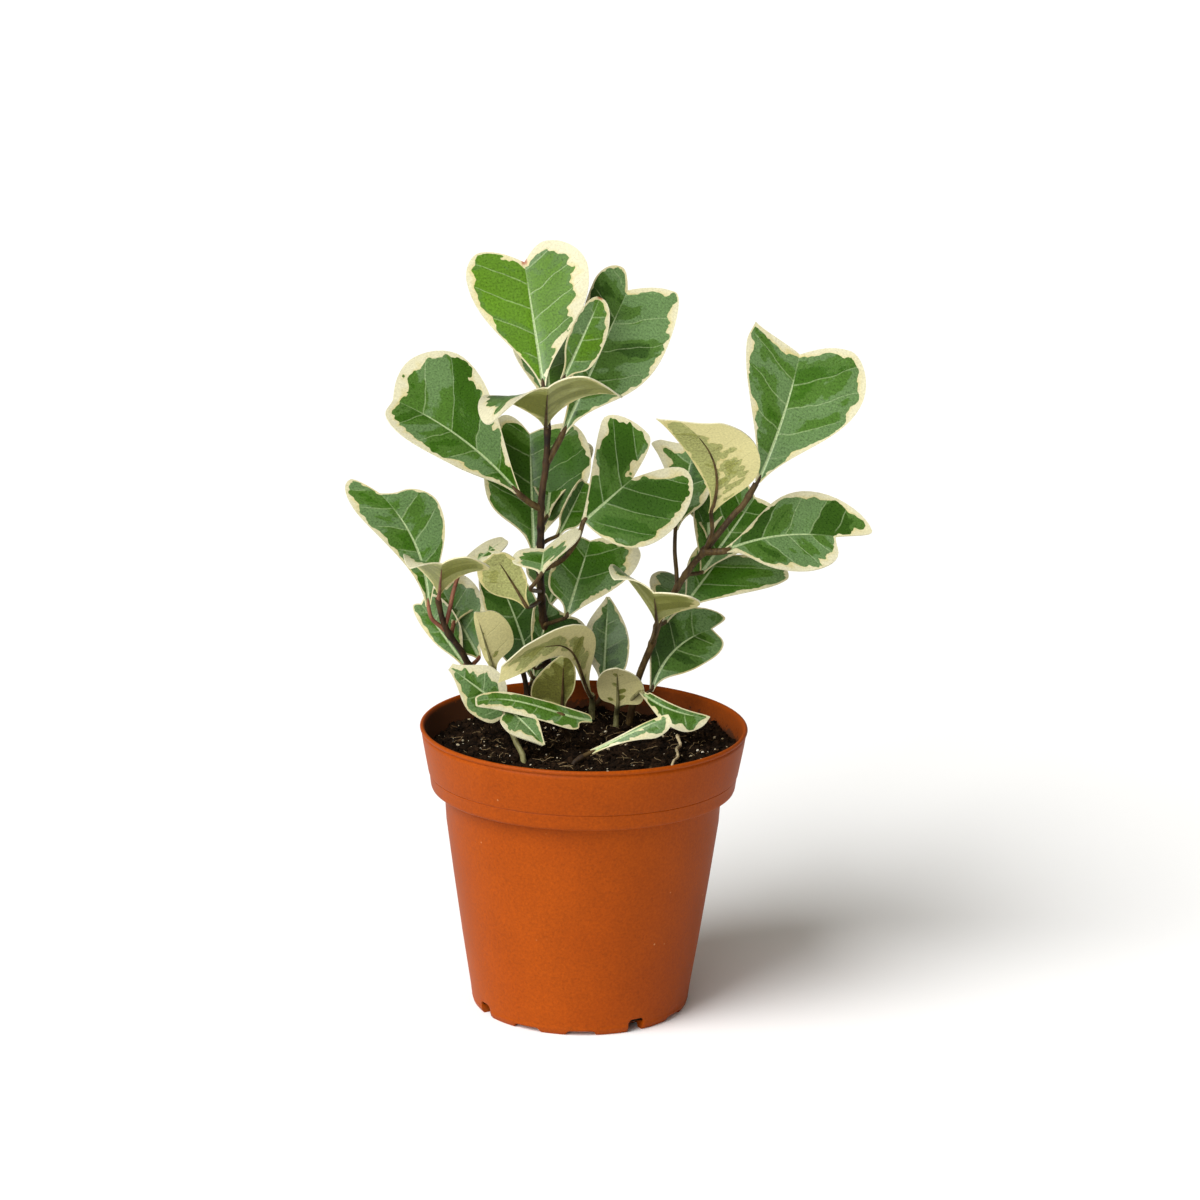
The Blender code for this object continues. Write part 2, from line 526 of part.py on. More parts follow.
class Blade:
    """The bent middle surface of a leaf."""

    def __init__(self, spec):
        self.spec = spec
        chord = spec["tip"] - spec["base"]
        reach = np.linalg.norm(chord)
        forward = chord / reach
        upper = heading(*spec["face"])
        upper = unit(upper - forward * (upper @ forward))
        half = math.radians(spec["curl"]) / 2
        self.length = reach * (half / math.sin(half) if half else 1)
        self.bend = 2 * half / self.length
        self.forward = forward * math.cos(half) + upper * math.sin(half)
        self.upper = upper * math.cos(half) - forward * math.sin(half)
        self.across = np.cross(forward, upper)

    def point(self, x, y, hand):
        """The place of a flat point, x across from the midrib on the left (0) or right (1) half."""
        spec, width = self.spec, self.spec["halves"][hand].width
        side = 1 if hand else -1
        fold = spec["fold"][hand] if isinstance(spec["fold"], tuple) else spec["fold"]
        share = y / self.length
        turn = self.bend * y
        if abs(self.bend) < 1e-6:
            along, drop = y, 0.0
        else:
            along, drop = math.sin(turn) / self.bend, (1 - math.cos(turn)) / self.bend
        normal = self.upper * math.cos(turn) + self.forward * math.sin(turn)
        start = math.radians(fold)
        arch = math.radians(spec["cup"][hand]) * (0.45 + 0.75 * min(share, 1.2)) / width
        if abs(arch) < 1e-6:
            out, lift = x * math.cos(start), x * math.sin(start)
        else:
            out = (math.sin(start + arch * x) - math.sin(start)) / arch
            lift = (math.cos(start) - math.cos(start + arch * x)) / arch
        lift -= spec["droop"][hand] * (x / width) ** 3 * min(share, 1.2) ** 3
        shift = 4 * spec["sway"] * share * (1 - share)
        return (spec["base"] + self.forward * along - self.upper * drop
                + self.across * (side * out + shift) + normal * lift)

    def midrib(self, share):
        return self.point(0, share * self.length, 1)

    def grid(self):
        """Rows of points from the stalk to the notch, each from the left edge to the right edge."""
        first, second, third = BLADE_ROWS
        shares = np.concatenate([np.linspace(0, 0.5, first + 1), np.linspace(0.5, 0.78, second + 1)[1:],
                                 np.linspace(0.78, 1, third + 1)[1:]])
        edges = [half_outline(side, self.length) for side in self.spec["halves"]]
        rows = []
        for index, share in enumerate(shares):
            middle = np.array([0.0, share * self.length])
            row = []
            for hand, steps in ((0, range(BLADE_COLUMNS, 0, -1)), (1, range(BLADE_COLUMNS + 1))):
                for step in steps:
                    x, y = mix(middle, edges[hand][index], step / BLADE_COLUMNS)
                    row.append(self.point(x, y, hand))
            rows.append(row)
        return np.array(rows)


def surface_normals(grid):
    """A normal at each grid point, the mean of the faces round it."""
    first, second, third, fourth = grid[:-1, :-1], grid[:-1, 1:], grid[1:, 1:], grid[1:, :-1]
    faces = np.cross(third - first, fourth - second)
    normals = np.zeros_like(grid)
    for corner in (normals[:-1, :-1], normals[:-1, 1:], normals[1:, 1:], normals[1:, :-1]):
        corner += faces
    normals[-1] = normals[-1].sum(axis=0)
    return normals / np.linalg.norm(normals, axis=2, keepdims=True)


def make_blade(name, spec, collection):
    """The blade as a thin closed solid, split into the same triangles on both faces."""
    blade = Blade(spec)
    grid = blade.grid()
    normals = surface_normals(grid)
    lift = normals * BLADE_THICKNESS / 2
    rows, columns = grid.shape[:2]
    shape = bmesh.new()
    faces = []
    for offset in (lift, -lift):
        places = (grid + offset) * MM
        points = [[shape.verts.new(place) for place in row] for row in places[:-1]]
        end = shape.verts.new(places[-1, columns // 2])
        points.append([end] * columns)
        faces.append(points)
    upper, lower = faces
    for row in range(rows - 1):
        last = row == rows - 2
        for column in range(columns - 1):
            for sheet, flip in ((upper, False), (lower, True)):
                a, b = sheet[row][column], sheet[row][column + 1]
                c, d = sheet[row + 1][column + 1], sheet[row + 1][column]
                triangles = [(a, b, c)] if last else [(a, b, c), (a, c, d)]
                for triangle in triangles:
                    shape.faces.new(triangle[::-1] if flip else triangle)
    ring = [(row, 0) for row in range(rows - 1, -1, -1)]
    ring += [(0, column) for column in range(1, columns)]
    ring += [(row, columns - 1) for row in range(1, rows)]
    for start, end in zip(ring, ring[1:]):
        a, b = upper[start[0]][start[1]], upper[end[0]][end[1]]
        c, d = lower[end[0]][end[1]], lower[start[0]][start[1]]
        shape.faces.new((b, a, d))
        shape.faces.new((b, d, c))
    bmesh.ops.recalc_face_normals(shape, faces=shape.faces)
    mesh = bpy.data.meshes.new(name)
    shape.to_mesh(mesh)
    shape.free()
    add_object(name, mesh, collection)
    join = spec["join"]
    end = [blade.midrib(join), blade.midrib(join + STALK_SUNK)]
    radius = spec["stalk_radius"]
    route = np.array([*spec["stalk"], *end])
    tube(name + "_stalk", route, (radius * 1.15, radius * 0.8), STALK_SIDES, collection)


def make_stem(name, stem, collection):
    """A stem with its leaves, fused into one solid."""
    root, *rest = stem["route"]
    line = np.vstack([root, smooth_route(rest, 2)])
    body = tube(name, line, stem["radius"], STEM_SIDES, parts)
    body.data.materials.append(MATERIALS["leafy"])
    for index, spec in enumerate(stem["leaves"]):
        make_blade(f"{name}_leaf_{index + 1}", spec, collection)
    join_all(body, collection)
    body.data.shade_smooth()
    body.data.set_sharp_from_angle(angle=math.radians(50))
    neck = Vector(rest[0]) * MM
    body.data.transform(Matrix.Translation(-neck))
    body.location = neck
    body.parent = plant


make_pot()
soil_body = make_soil()
for stem_name, stem_spec in STEMS.items():
    cut_root_hole(soil_body, stem_name, stem_spec)
    leaves = bpy.data.collections.new(stem_name + "_leaves")
    bpy.context.scene.collection.children.link(leaves)
    make_stem(stem_name, stem_spec, leaves)
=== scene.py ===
# A potted triangle fig: cream-edged leaves on thin brown stems in a burnt orange nursery pot.
import math
from functools import partialmethod

import bmesh
import bpy
import numpy as np
from mathutils import Matrix, Vector, noise


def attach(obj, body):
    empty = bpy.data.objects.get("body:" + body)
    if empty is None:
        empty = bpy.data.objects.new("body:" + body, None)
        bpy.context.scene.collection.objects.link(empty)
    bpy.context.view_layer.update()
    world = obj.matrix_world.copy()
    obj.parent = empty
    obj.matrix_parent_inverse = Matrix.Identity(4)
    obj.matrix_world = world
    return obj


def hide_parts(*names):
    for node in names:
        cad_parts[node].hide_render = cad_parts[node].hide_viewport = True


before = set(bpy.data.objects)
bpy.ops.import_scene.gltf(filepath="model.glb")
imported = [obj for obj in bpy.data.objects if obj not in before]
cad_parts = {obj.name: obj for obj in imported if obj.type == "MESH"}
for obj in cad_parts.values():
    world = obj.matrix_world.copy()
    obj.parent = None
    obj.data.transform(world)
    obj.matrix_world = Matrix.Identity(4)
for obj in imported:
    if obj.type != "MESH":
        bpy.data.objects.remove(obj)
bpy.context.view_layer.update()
mm = 0.001
print("frame loaded:", len(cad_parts), "nodes")


# Wiring: a new node goes to the tree that was begun last, and its output does arithmetic, so that a
# formula reads as one
trees = []


class Wire:
    def __init__(self, socket):
        self.socket = socket

    def math(self, operation, *others):
        return node("ShaderNodeMath", (self, *others), operation=operation)

    def vector(self, operation, *others):
        return node("ShaderNodeVectorMath", (self, *others), operation=operation)

    def scaled(self, factor):
        return node("ShaderNodeVectorMath", {0: self, 3: factor}, operation="SCALE")

    def output(self, name):
        return Wire(self.socket.node.outputs[name])

    def step(self, low, high):
        # 0 below low, 1 above high, and smooth between them
        ends = {"Value": self, "From Min": low, "From Max": high}
        return node("ShaderNodeMapRange", ends, interpolation_type="SMOOTHSTEP")

    def __rsub__(self, other):
        return self * -1.0 + other

    __add__ = __radd__ = partialmethod(math, "ADD")
    __mul__ = __rmul__ = partialmethod(math, "MULTIPLY")
    __sub__ = partialmethod(math, "SUBTRACT")
    __truediv__ = partialmethod(math, "DIVIDE")


def plug(socket, value):
    if isinstance(value, Wire):
        trees[-1].links.new(value.socket, socket)
    else:
        socket.default_value = value


def node(kind, inputs=(), output=0, **settings):
    made = trees[-1].nodes.new(kind)
    for name, value in settings.items():
        setattr(made, name, value)
    for key, value in inputs.items() if isinstance(inputs, dict) else enumerate(inputs):
        plug(made.inputs[key], value)
    return Wire(made.outputs[output])


def blend(factor, first, second):
    # the first colour where the factor is 0 and the second where it is 1
    return node("ShaderNodeMix", {0: factor, 6: first, 7: second}, 2, data_type="RGBA")


def combine(x, y, z=0.0):
    return node("ShaderNodeCombineXYZ", (x, y, z))


def beginTree(kind, name, inputs):
    # a node group and a wire from each of its inputs, which is given by its kind or its default
    tree = bpy.data.node_groups.new(name, kind)
    trees.append(tree)
    for label, default in inputs.items():
        plain = not isinstance(default, str)
        socketKind = "NodeSocket" + ("Float" if plain else default)
        socket = tree.interface.new_socket(label, in_out="INPUT", socket_type=socketKind)
        if plain:
            socket.default_value = default
    source = tree.nodes.new("NodeGroupInput")
    return [Wire(source.outputs[label]) for label in inputs]


def endTree(outputs, kind="Float", vectors=()):
    tree = trees[-1]
    for label in outputs:
        socketKind = "NodeSocket" + ("Vector" if label in vectors else kind)
        tree.interface.new_socket(label, in_out="OUTPUT", socket_type=socketKind)
    sink = tree.nodes.new("NodeGroupOutput")
    for label, value in outputs.items():
        plug(sink.inputs[label], value)
    return tree


def endShape(shape, material):
    shape = node("GeometryNodeRealizeInstances", {"Geometry": shape})
    shape = node("GeometryNodeSetMaterial", {"Geometry": shape, "Material": material})
    return endTree({"Geometry": shape}, "Geometry")


def placeGroup(group, inputs):
    # what the group has no input for is passed over
    made = node("ShaderNodeGroup", node_tree=group).socket.node
    for label, value in inputs.items():
        if label in made.inputs:
            plug(made.inputs[label], value)
    return {socket.name: Wire(socket) for socket in made.outputs}


def addNodes(item, tree, values):
    # a Geometry Nodes modifier, with its inputs set by their identifiers
    modifier = item.modifiers.new(tree.name, "NODES")
    modifier.node_group = tree
    for socket in tree.interface.items_tree:
        if socket.in_out == "INPUT" and socket.name in values:
            modifier[socket.identifier] = values[socket.name]


def addObject(name, data, materials=()):
    item = bpy.data.objects.new(name, data)
    bpy.context.scene.collection.objects.link(item)
    for material in materials:
        data.materials.append(material)
    return item


def addShape(name, shape, materials=()):
    mesh = bpy.data.meshes.new(name)
    shape.to_mesh(mesh)
    shape.free()
    return addObject(name, mesh, materials)


def freeze(item):
    # a plain mesh object at the origin in place of one with modifiers
    evaluated = item.evaluated_get(bpy.context.evaluated_depsgraph_get())
    mesh = bpy.data.meshes.new_from_object(evaluated)
    mesh.transform(item.matrix_world)
    name = item.name
    bpy.data.objects.remove(item, do_unlink=True)
    return addObject(name, mesh)


def joinObjects(name, items):
    with bpy.context.temp_override(active_object=items[0], selected_editable_objects=items):
        bpy.ops.object.join()
    items[0].name = name
    return items[0]


def finishPiece(item, slot, *nodes):
    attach(item, "root")
    if nodes:
        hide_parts(*nodes)


# Shader groups
def noiseAt(place, scale, detail=3.0, roughness=0.5):
    inputs = {"Vector": place, "Scale": scale, "Detail": detail, "Roughness": roughness}
    return node("ShaderNodeTexNoise", inputs)


def makeBladeSpace():
    # the blade's flat coordinates in millimetres, and its veins as a number that counts up the midrib.
    # The seed moves each blade's pattern elsewhere.
    bladeMap, size, seed, firstVein, spacing, leastGap, lean, bow, waver, stagger = beginTree(
        "ShaderNodeTree", "bladeSpace",
        {"Map": "Vector", "Size": 30.0, "Seed": 0.0, "First Vein": 0.78, "Spacing": 7.5, "Least Gap": 0.2,
         "Lean": 0.55, "Bow": 0.14, "Waver": 0.09, "Stagger": 0.1})
    split = node("ShaderNodeSeparateXYZ", (bladeMap,))
    across, share = split - 0.5, split.output("Y")
    side, out = across.math("GREATER_THAN", 0.0), across.math("ABSOLUTE")
    flat = combine(across * size + seed * 37.0, share * size + seed * 53.0)
    climb = share - out * lean - out * out * bow + (noiseAt(flat, 0.09, 2.0) - 0.5) * waver
    apart = (side - 0.5) * ((seed * 9.0).math("SINE") * stagger + 0.08)
    gap = (spacing / size).math("MAXIMUM", leastGap)
    count = (climb + apart - firstVein) / gap
    nearest = ((count + 0.5).math("FRACT") - 0.5).math("ABSOLUTE")
    return endTree({
        "Flat": flat,
        "Along Veins": combine(climb * size + seed * 11.0, side * 40.0 + out * size * 0.5 + seed * 29.0),
        "Side": side, "Out": out * size, "Share": share, "Sector": count.math("FLOOR"),
        "To Vein": nearest * gap * size * 0.85}, vectors=("Flat", "Along Veins"))


def lobed(place, scale):
    # round cells, for patches whose edges are scalloped
    inputs = {"Vector": place, "Scale": scale}
    return node("ShaderNodeTexVoronoi", inputs, voronoi_dimensions="2D") - 0.4


def makeVariegation():
    # where the blade is cream, where it is a middle green and where that is greyish
    (flat, alongVeins, side, sector, out, share, seed, edge, cream, grey, lobeScale, smallScale,
     sectorPull, marginPull, spinePull, greyPull, middleFrom, greyFrom, softness) = beginTree(
        "ShaderNodeTree", "variegation",
        {"Flat": "Vector", "Along Veins": "Vector", "Side": 0.0, "Sector": 0.0, "Out": 5.0, "Share": 0.5,
         "Seed": 0.0, "Edge": 5.0, "Cream": 2.0, "Grey": 0.4, "Lobe Scale": 0.3, "Small Scale": 0.55,
         "Sector Pull": 0.36, "Margin Pull": 0.18, "Spine Pull": 0.05, "Grey Pull": 0.28,
         "Middle From": 0.65, "Grey From": 0.82, "Softness": 0.04})
    chance = node("ShaderNodeTexWhiteNoise", (combine(sector + 0.5, side * 3.0, seed * 5.0),))
    chances = node("ShaderNodeSeparateXYZ", (chance.output("Color"),))
    # the cream margin: broad near the notch, thin near the midrib, scalloped inside
    drift = noiseAt(flat, 0.1, 1.0).step(0.3, 0.7)
    broadness = cream.step(3.0, 8.0)
    width = cream * (drift * (1.25 - broadness * 0.7) + 0.2 + broadness * 0.5)
    width = width * (share.step(0.1, 0.95) * 0.85 + 0.4) * (out.step(0.5, 6.0) * 0.6 + 0.4)
    scallop = lobed(alongVeins, lobeScale) * (cream * 0.8 + 0.5)
    scallop = scallop + lobed(flat, smallScale) * (cream * 0.16 + 0.3)
    inside = edge - width - scallop
    margin = (1.0 - inside.step(-0.08, 0.08)).math("MAXIMUM", 1.0 - edge.step(0.3, 0.5))
    # the patches: a broad noise along the veins, and more likely near the margin and the midrib
    patch = noiseAt(alongVeins, 0.1, 1.0, 0.4) + (chances - 0.5) * sectorPull
    patch = patch + (1.0 - inside.step(0.0, 5.0)) * marginPull - lobed(alongVeins, 0.2) * 0.2
    patch = patch + (noiseAt(alongVeins, 0.7, 2.0, 0.6) - 0.5) * 0.16 - lobed(flat, 0.4) * 0.05
    patch = patch + grey * greyPull + (1.0 - out.step(0.0, 8.0)) * spinePull
    return endTree({
        "Cream": margin, "Middle": patch.step(middleFrom, middleFrom + softness),
        "Grey": patch.step(greyFrom, greyFrom + softness),
        "Yellow": inside.step(-1.8, 0.3) * drift.math("MAXIMUM", 0.35), "Random": chances})


def makeVeins():
    # the midrib and the side veins, thinner towards the edge and the notch
    out, share, toVein, edge, midribWidth, veinWidth = beginTree("ShaderNodeTree", "veins", {
        "Out": 0.0, "Share": 0.0, "To Vein": 1.0, "Edge": 5.0, "Midrib": 0.5, "Vein": 0.2})
    half = midribWidth * (1.0 - share * 0.75).math("MAXIMUM", 0.1)
    fade = 1.0 - share.step(0.72, 0.86)
    midrib = (1.0 - (out / half).step(0.6, 1.25)) * (fade * 0.75 + 0.25)
    thin = veinWidth * (1.0 - out * 0.03).math("MAXIMUM", 0.4)
    veins = (1.0 - (toVein / thin).step(0.5, 1.6)) * edge.step(0.8, 3.0)
    return endTree({"Midrib": midrib, "Veins": veins * (share.step(0.1, 0.3) * 0.7 + 0.3)})


def makeSpeckle():
    # fine light and dark grains round 1, for anything that isn't one even colour
    place, scale, strength, clouds = beginTree("ShaderNodeTree", "speckle", {
        "Place": "Vector", "Scale": 800.0, "Strength": 0.1, "Clouds": 0.1})
    grain = noiseAt(place, scale, 2.0, 0.7)
    cloud = noiseAt(place, scale * 0.06, 3.0)
    shade = (grain - 0.5) * strength + (cloud - 0.5) * clouds + 1.0
    return endTree({"Shade": shade, "Grain": grain})


bladeSpace = makeBladeSpace()
variegation = makeVariegation()
veinLines = makeVeins()
speckle = makeSpeckle()


def newMaterial(name, **values):
    # a material and its Principled shader, with the values that are the same all over
    material = bpy.data.materials.new(name)
    material.use_nodes = True
    trees.append(material.node_tree)
    shader = material.node_tree.nodes["Principled BSDF"]
    for label, value in values.items():
        shader.inputs[label.replace("_", " ")].default_value = value
    return material, shader


def coat(shader, tint, roughness, height, depth, strength=1.0):
    # what varies over the surface
    normal = node("ShaderNodeBump", {"Height": height, "Distance": depth, "Strength": strength})
    for label, value in {"Base Color": tint, "Roughness": roughness, "Normal": normal}.items():
        plug(shader.inputs[label], value)


def colour(red, green, blue):
    # a colour as seen on a screen, 0 to 255, made linear for the shader
    return tuple(((c / 255 + 0.055) / 1.055) ** 2.4 if c > 10 else c / 255 / 12.92
                 for c in (red, green, blue)) + (1.0,)


# Leaf materials
leafGrain = {"Scale": 1.5, "Strength": 1.7, "Clouds": 0.35}
leafLook = {
    "top": {"dark": colour(36, 62, 10), "green": colour(52, 92, 10), "fresh": colour(78, 116, 16),
            "middle": colour(74, 107, 40), "grey": colour(91, 119, 71), "cream": colour(203, 198, 166),
            "yellow": colour(194, 182, 124), "vein": colour(166, 184, 134), "notch": colour(150, 66, 34),
            "midrib": 0.6, "veinStrength": 0.3, "roughness": 0.3},
    "under": {"dark": colour(108, 108, 46), "green": colour(126, 130, 60), "fresh": colour(136, 142, 68),
              "middle": colour(146, 148, 80), "grey": colour(158, 160, 98), "cream": colour(208, 200, 142),
              "yellow": colour(194, 182, 116), "vein": colour(100, 92, 52), "notch": colour(140, 96, 60),
              "midrib": 0.32, "veinStrength": 0.25, "roughness": 0.55},
}


def makeLeafMaterial(name, look):
    material, shader = newMaterial(name, Specular_IOR_Level=0.32)
    seed, edge, tone, size, cream, grey = (
        node("ShaderNodeAttribute", attribute_name=label).output("Fac")
        for label in ("seed", "edge", "tone", "size", "cream", "grey"))
    bladeMap = node("ShaderNodeUVMap", uv_map="bladeMap")
    space = placeGroup(bladeSpace, {"Map": bladeMap, "Size": size, "Seed": seed})
    patches = placeGroup(variegation, {**space, "Seed": seed, "Edge": edge, "Cream": cream, "Grey": grey})
    lines = placeGroup(veinLines, {**space, "Edge": edge, "Midrib": look["midrib"]})
    grains = placeGroup(speckle, {"Place": space["Flat"], **leafGrain})
    green = blend((tone * 2.0).math("MINIMUM", 1.0), look["dark"], look["green"])
    green = blend((tone * 2.0 - 1.0).math("MAXIMUM", 0.0), green, look["fresh"])
    green = green.scaled(patches["Random"] * 0.22 + 0.89)
    body = blend(patches["Middle"], green, blend(0.3, look["middle"], green))
    body = blend(patches["Grey"], body, look["grey"])
    pale = blend(patches["Yellow"], look["cream"], look["yellow"])
    body = blend(patches["Cream"], body, pale)
    veined = lines["Veins"] * (1.0 - patches["Cream"] * 0.8) * look["veinStrength"]
    body = blend(veined.math("MAXIMUM", lines["Midrib"] * 0.85), body, look["vein"])
    notch = space["Share"].step(0.965, 0.995) * (1.0 - space["Out"].step(0.5, 1.3)) * tone.step(0.92, 0.97)
    body = blend(notch * 0.8, body, look["notch"])
    evenness = 1.0 - patches["Cream"] * 0.6
    coat(shader, body.scaled((grains["Shade"] - 1.0) * evenness + 1.0),
         (grains["Grain"] - 0.5) * 0.2 + look["roughness"],
         grains["Grain"] * 0.12 - lines["Midrib"] * 0.6 - lines["Veins"] * 0.5, 0.12 * mm, 0.8)
    return material


# Stem, soil and pot materials
barkGrain = {"streakScale": 900.0, "stretch": (1.0, 1.0, 0.3), "patchScale": 160.0, "poreScale": 700.0}
barkLook = {
    "bark": {"dark": colour(25, 16, 8), "light": colour(76, 54, 28), "roughness": 0.65},
    "stalk": {"dark": colour(50, 34, 17), "light": colour(104, 84, 48), "roughness": 0.55},
    "redStalk": {"dark": colour(94, 46, 34), "light": colour(142, 96, 70), "roughness": 0.55},
    "greenStalk": {"dark": colour(96, 92, 56), "light": colour(150, 146, 100), "roughness": 0.5},
}


def makeBarkMaterial(name, look):
    material, shader = newMaterial(name, Specular_IOR_Level=0.22)
    place = node("ShaderNodeTexCoord").output("Object")
    streaks = noiseAt(place.vector("MULTIPLY", barkGrain["stretch"]), barkGrain["streakScale"], 4.0, 0.65)
    patches = noiseAt(place, barkGrain["patchScale"])
    pores = node("ShaderNodeTexVoronoi", {"Vector": place, "Scale": barkGrain["poreScale"]})
    pore = 1.0 - pores.step(0.12, 0.24)
    body = blend((streaks * 0.6 + patches * 0.7 - 0.2).step(0.25, 0.75), look["dark"], look["light"])
    coat(shader, blend(pore * 0.5, body, look["light"]), streaks * 0.25 + (look["roughness"] - 0.12),
         streaks + pore * 0.5, 0.15 * mm)
    return material


soilLook = {
    "dark": colour(7, 4, 2), "brown": colour(47, 32, 19), "tan": colour(160, 142, 106),
    "perlite": colour(232, 228, 214), "root": colour(206, 190, 158), "chip": colour(92, 70, 46),
}
# the low and the high colour, the size of the lumps as a scale, and their depth
soilKinds = {
    "soilBed": ("dark", "brown", 260.0, 0.5), "soilCrumb": ("dark", "brown", 420.0, 0.3),
    "woodChip": ("brown", "chip", 500.0, 0.2), "fibre": ("chip", "tan", 900.0, 0.1),
    "perlite": ("tan", "perlite", 500.0, 0.2), "paleRoot": ("tan", "root", 700.0, 0.1),
}


def makeSoilMaterial(name, low, high, scale, depth):
    material, shader = newMaterial(name, Specular_IOR_Level=0.06)
    place = node("ShaderNodeTexCoord").output("Object")
    lumps = noiseAt(place, scale, 5.0, 0.65)
    grit = noiseAt(place, scale * 6.0, 2.0, 0.6)
    body = blend((lumps * 0.7 + grit * 0.45).step(0.45, 0.8), soilLook[low], soilLook[high])
    coat(shader, body, grit * 0.2 + 0.78, lumps + grit * 0.5, depth * mm)
    return material


potLook = {
    "body": colour(151, 66, 4), "deep": colour(136, 55, 2), "dust": colour(196, 140, 90),
    # the stain colour also serves as the painted shade on the inner wall
    "stainAndShade": colour(56, 42, 30), "stainTop": 88.8 * mm, "stainBottom": 80.5 * mm, "wallBottom": 76 * mm,
    "wallRadius": 49.4 * mm, "wallSlope": 0.17, "stainFrom": 20 * mm, "stainTo": -38 * mm, "roughness": 0.5,
    "grain": {"Scale": 1300.0, "Strength": 0.8, "Clouds": 0.2}, "cloudScale": 26.0, "speckScale": 260.0,
    "splashScale": 420.0, "speckClouds": 90.0,
}


def makePotMaterial():
    # moulded plastic with a fine grain, faint clouds, soil splashed on the inside under the rim, and
    # painted shade that darkens the whole inner wall, more so further down
    look = potLook
    bottom, top = look["stainBottom"], look["stainTop"]
    material, shader = newMaterial("mouldedPlastic", Specular_IOR_Level=0.3, IOR=1.25)
    place = node("ShaderNodeTexCoord").output("Object")
    grains = placeGroup(speckle, {"Place": place, **look["grain"]})
    body = blend(noiseAt(place, look["cloudScale"]).step(0.3, 0.75) * 0.5, look["body"], look["deep"])
    body = body.scaled(grains["Shade"])
    cells = node("ShaderNodeTexVoronoi", {"Vector": place, "Scale": look["speckScale"]})
    specks = (1.0 - cells.step(0.05, 0.11)) * noiseAt(place, look["speckClouds"], 1.0).step(0.62, 0.7)
    body = blend(specks * 0.7, body, look["dust"])
    x = node("ShaderNodeSeparateXYZ", (place,))
    y, height = x.output("Y"), x.output("Z")
    radius = combine(x, y).vector("LENGTH").output("Value")
    wall = height * look["wallSlope"] + (look["wallRadius"] - look["wallSlope"] * top)
    inside = 1.0 - (radius - wall).step(-0.2 * mm, 0.1 * mm)
    inside = inside * height.step(look["wallBottom"] - mm, look["wallBottom"] + mm)
    splash = noiseAt(place, look["splashScale"], 5.0, 0.7) + (1.0 - height.step(bottom, top)) * 0.45
    byLeft = (x + 0.5 * y).step(look["stainFrom"], look["stainTo"])
    # the real soil stains, more on the left; the same colour is also painted as shade on the inner wall
    # below
    stainAndShade = (splash + byLeft * 0.35).step(0.62, 0.78) * inside
    # painted shade: the inner wall darkened with the stain colour, more so further down towards the soil
    paintedInnerShade = (1.0 - height.step(bottom, top + 3 * mm) * 0.6) * inside * 0.5
    coat(shader, blend((stainAndShade * 0.85).math("MAXIMUM", paintedInnerShade), body, look["stainAndShade"]),
         grains["Grain"] * 0.16 + stainAndShade * 0.3 + (look["roughness"] - 0.08), grains["Grain"], 0.05 * mm, 0.7)
    return material


leafTop = makeLeafMaterial("leafTop", leafLook["top"])
leafUnder = makeLeafMaterial("leafUnder", leafLook["under"])
barks = {name: makeBarkMaterial(name, look) for name, look in barkLook.items()}
soils = {name: makeSoilMaterial(name, *kind) for name, kind in soilKinds.items()}
potPlastic = makePotMaterial()
print("materials made")


# Leaves. A blade is cut flat from its outline, and Geometry Nodes bend it.
bladeCut = {"root": 0.8, "rows": (16, 9, 9), "rowEnds": (0.5, 0.78, 1), "columns": 10, "crowding": 1.3,
            "thickness": 0.42, "sharp": 60, "grooveWidth": 0.7, "grooveDepth": 0.28, "rippleScale": 75.0,
            "rippleShare": 2.2, "waveTurns": 9.0, "waveShare": 0.35}


def unit(vector):
    return vector / np.linalg.norm(vector)


def heading(turn, rise):
    turn, rise = math.radians(turn), math.radians(rise)
    return np.array([math.cos(turn) * math.cos(rise), math.sin(turn) * math.cos(rise), math.sin(rise)])


def mix(start, end, share):
    return start + (end - start) * share


def bezier(start, pull, push, end, steps):
    t = np.linspace(0, 1, steps + 1)[:, None]
    s = 1 - t
    return s**3 * start + 3 * s * s * t * pull + 3 * s * t * t * push + t**3 * end


usualLeaf = {
    "fold": 6, "curl": 10, "cup": (0, 0), "droop": (0, 0), "droopPower": 3, "sway": 0, "weave": 0,
    "join": 0, "stalkRadius": 0.62, "stalkKind": None, "grey": 0.4, "tone": 0.45, "ripple": 0.5,
    "halfEnd": (0.0, 1.0),
}


def leaf(base, tip, face, left, right, stalk, paint, **other):
    # base and tip of the midrib, the upper face's turn and rise, and the two halves, each as its
    # half width, lobe rise, shoulder share, crown share, point and fullness, where the last two may
    # be left out. The stalk is a route up to the base. The paint is the cream margin on the left and
    # right, the greyness and the tone.
    base, tip = np.array(base, float), np.array(tip, float)
    spec = {**usualLeaf, "base": base, "stalk": stalk, "cream": paint[:2], **other}
    spec.update(zip(("grey", "tone"), paint[2:]))
    spec["halves"] = [(*half, *spec["halfEnd"][len(half) - 4:]) for half in (left, right)]
    if not isinstance(spec["fold"], tuple):
        spec["fold"] = (spec["fold"], spec["fold"])
    half = math.radians(spec["curl"]) / 2
    forward = unit(tip - base)
    upper = heading(*face)
    upper = unit(upper - forward * (upper @ forward))
    spec["length"] = np.linalg.norm(tip - base) * half / math.sin(half)
    spec["bend"] = 2 * half / spec["length"]
    spec["across"] = np.cross(forward, upper)
    spec["forward"] = forward * math.cos(half) + upper * math.sin(half)
    spec["upper"] = upper * math.cos(half) - forward * math.sin(half)
    return spec


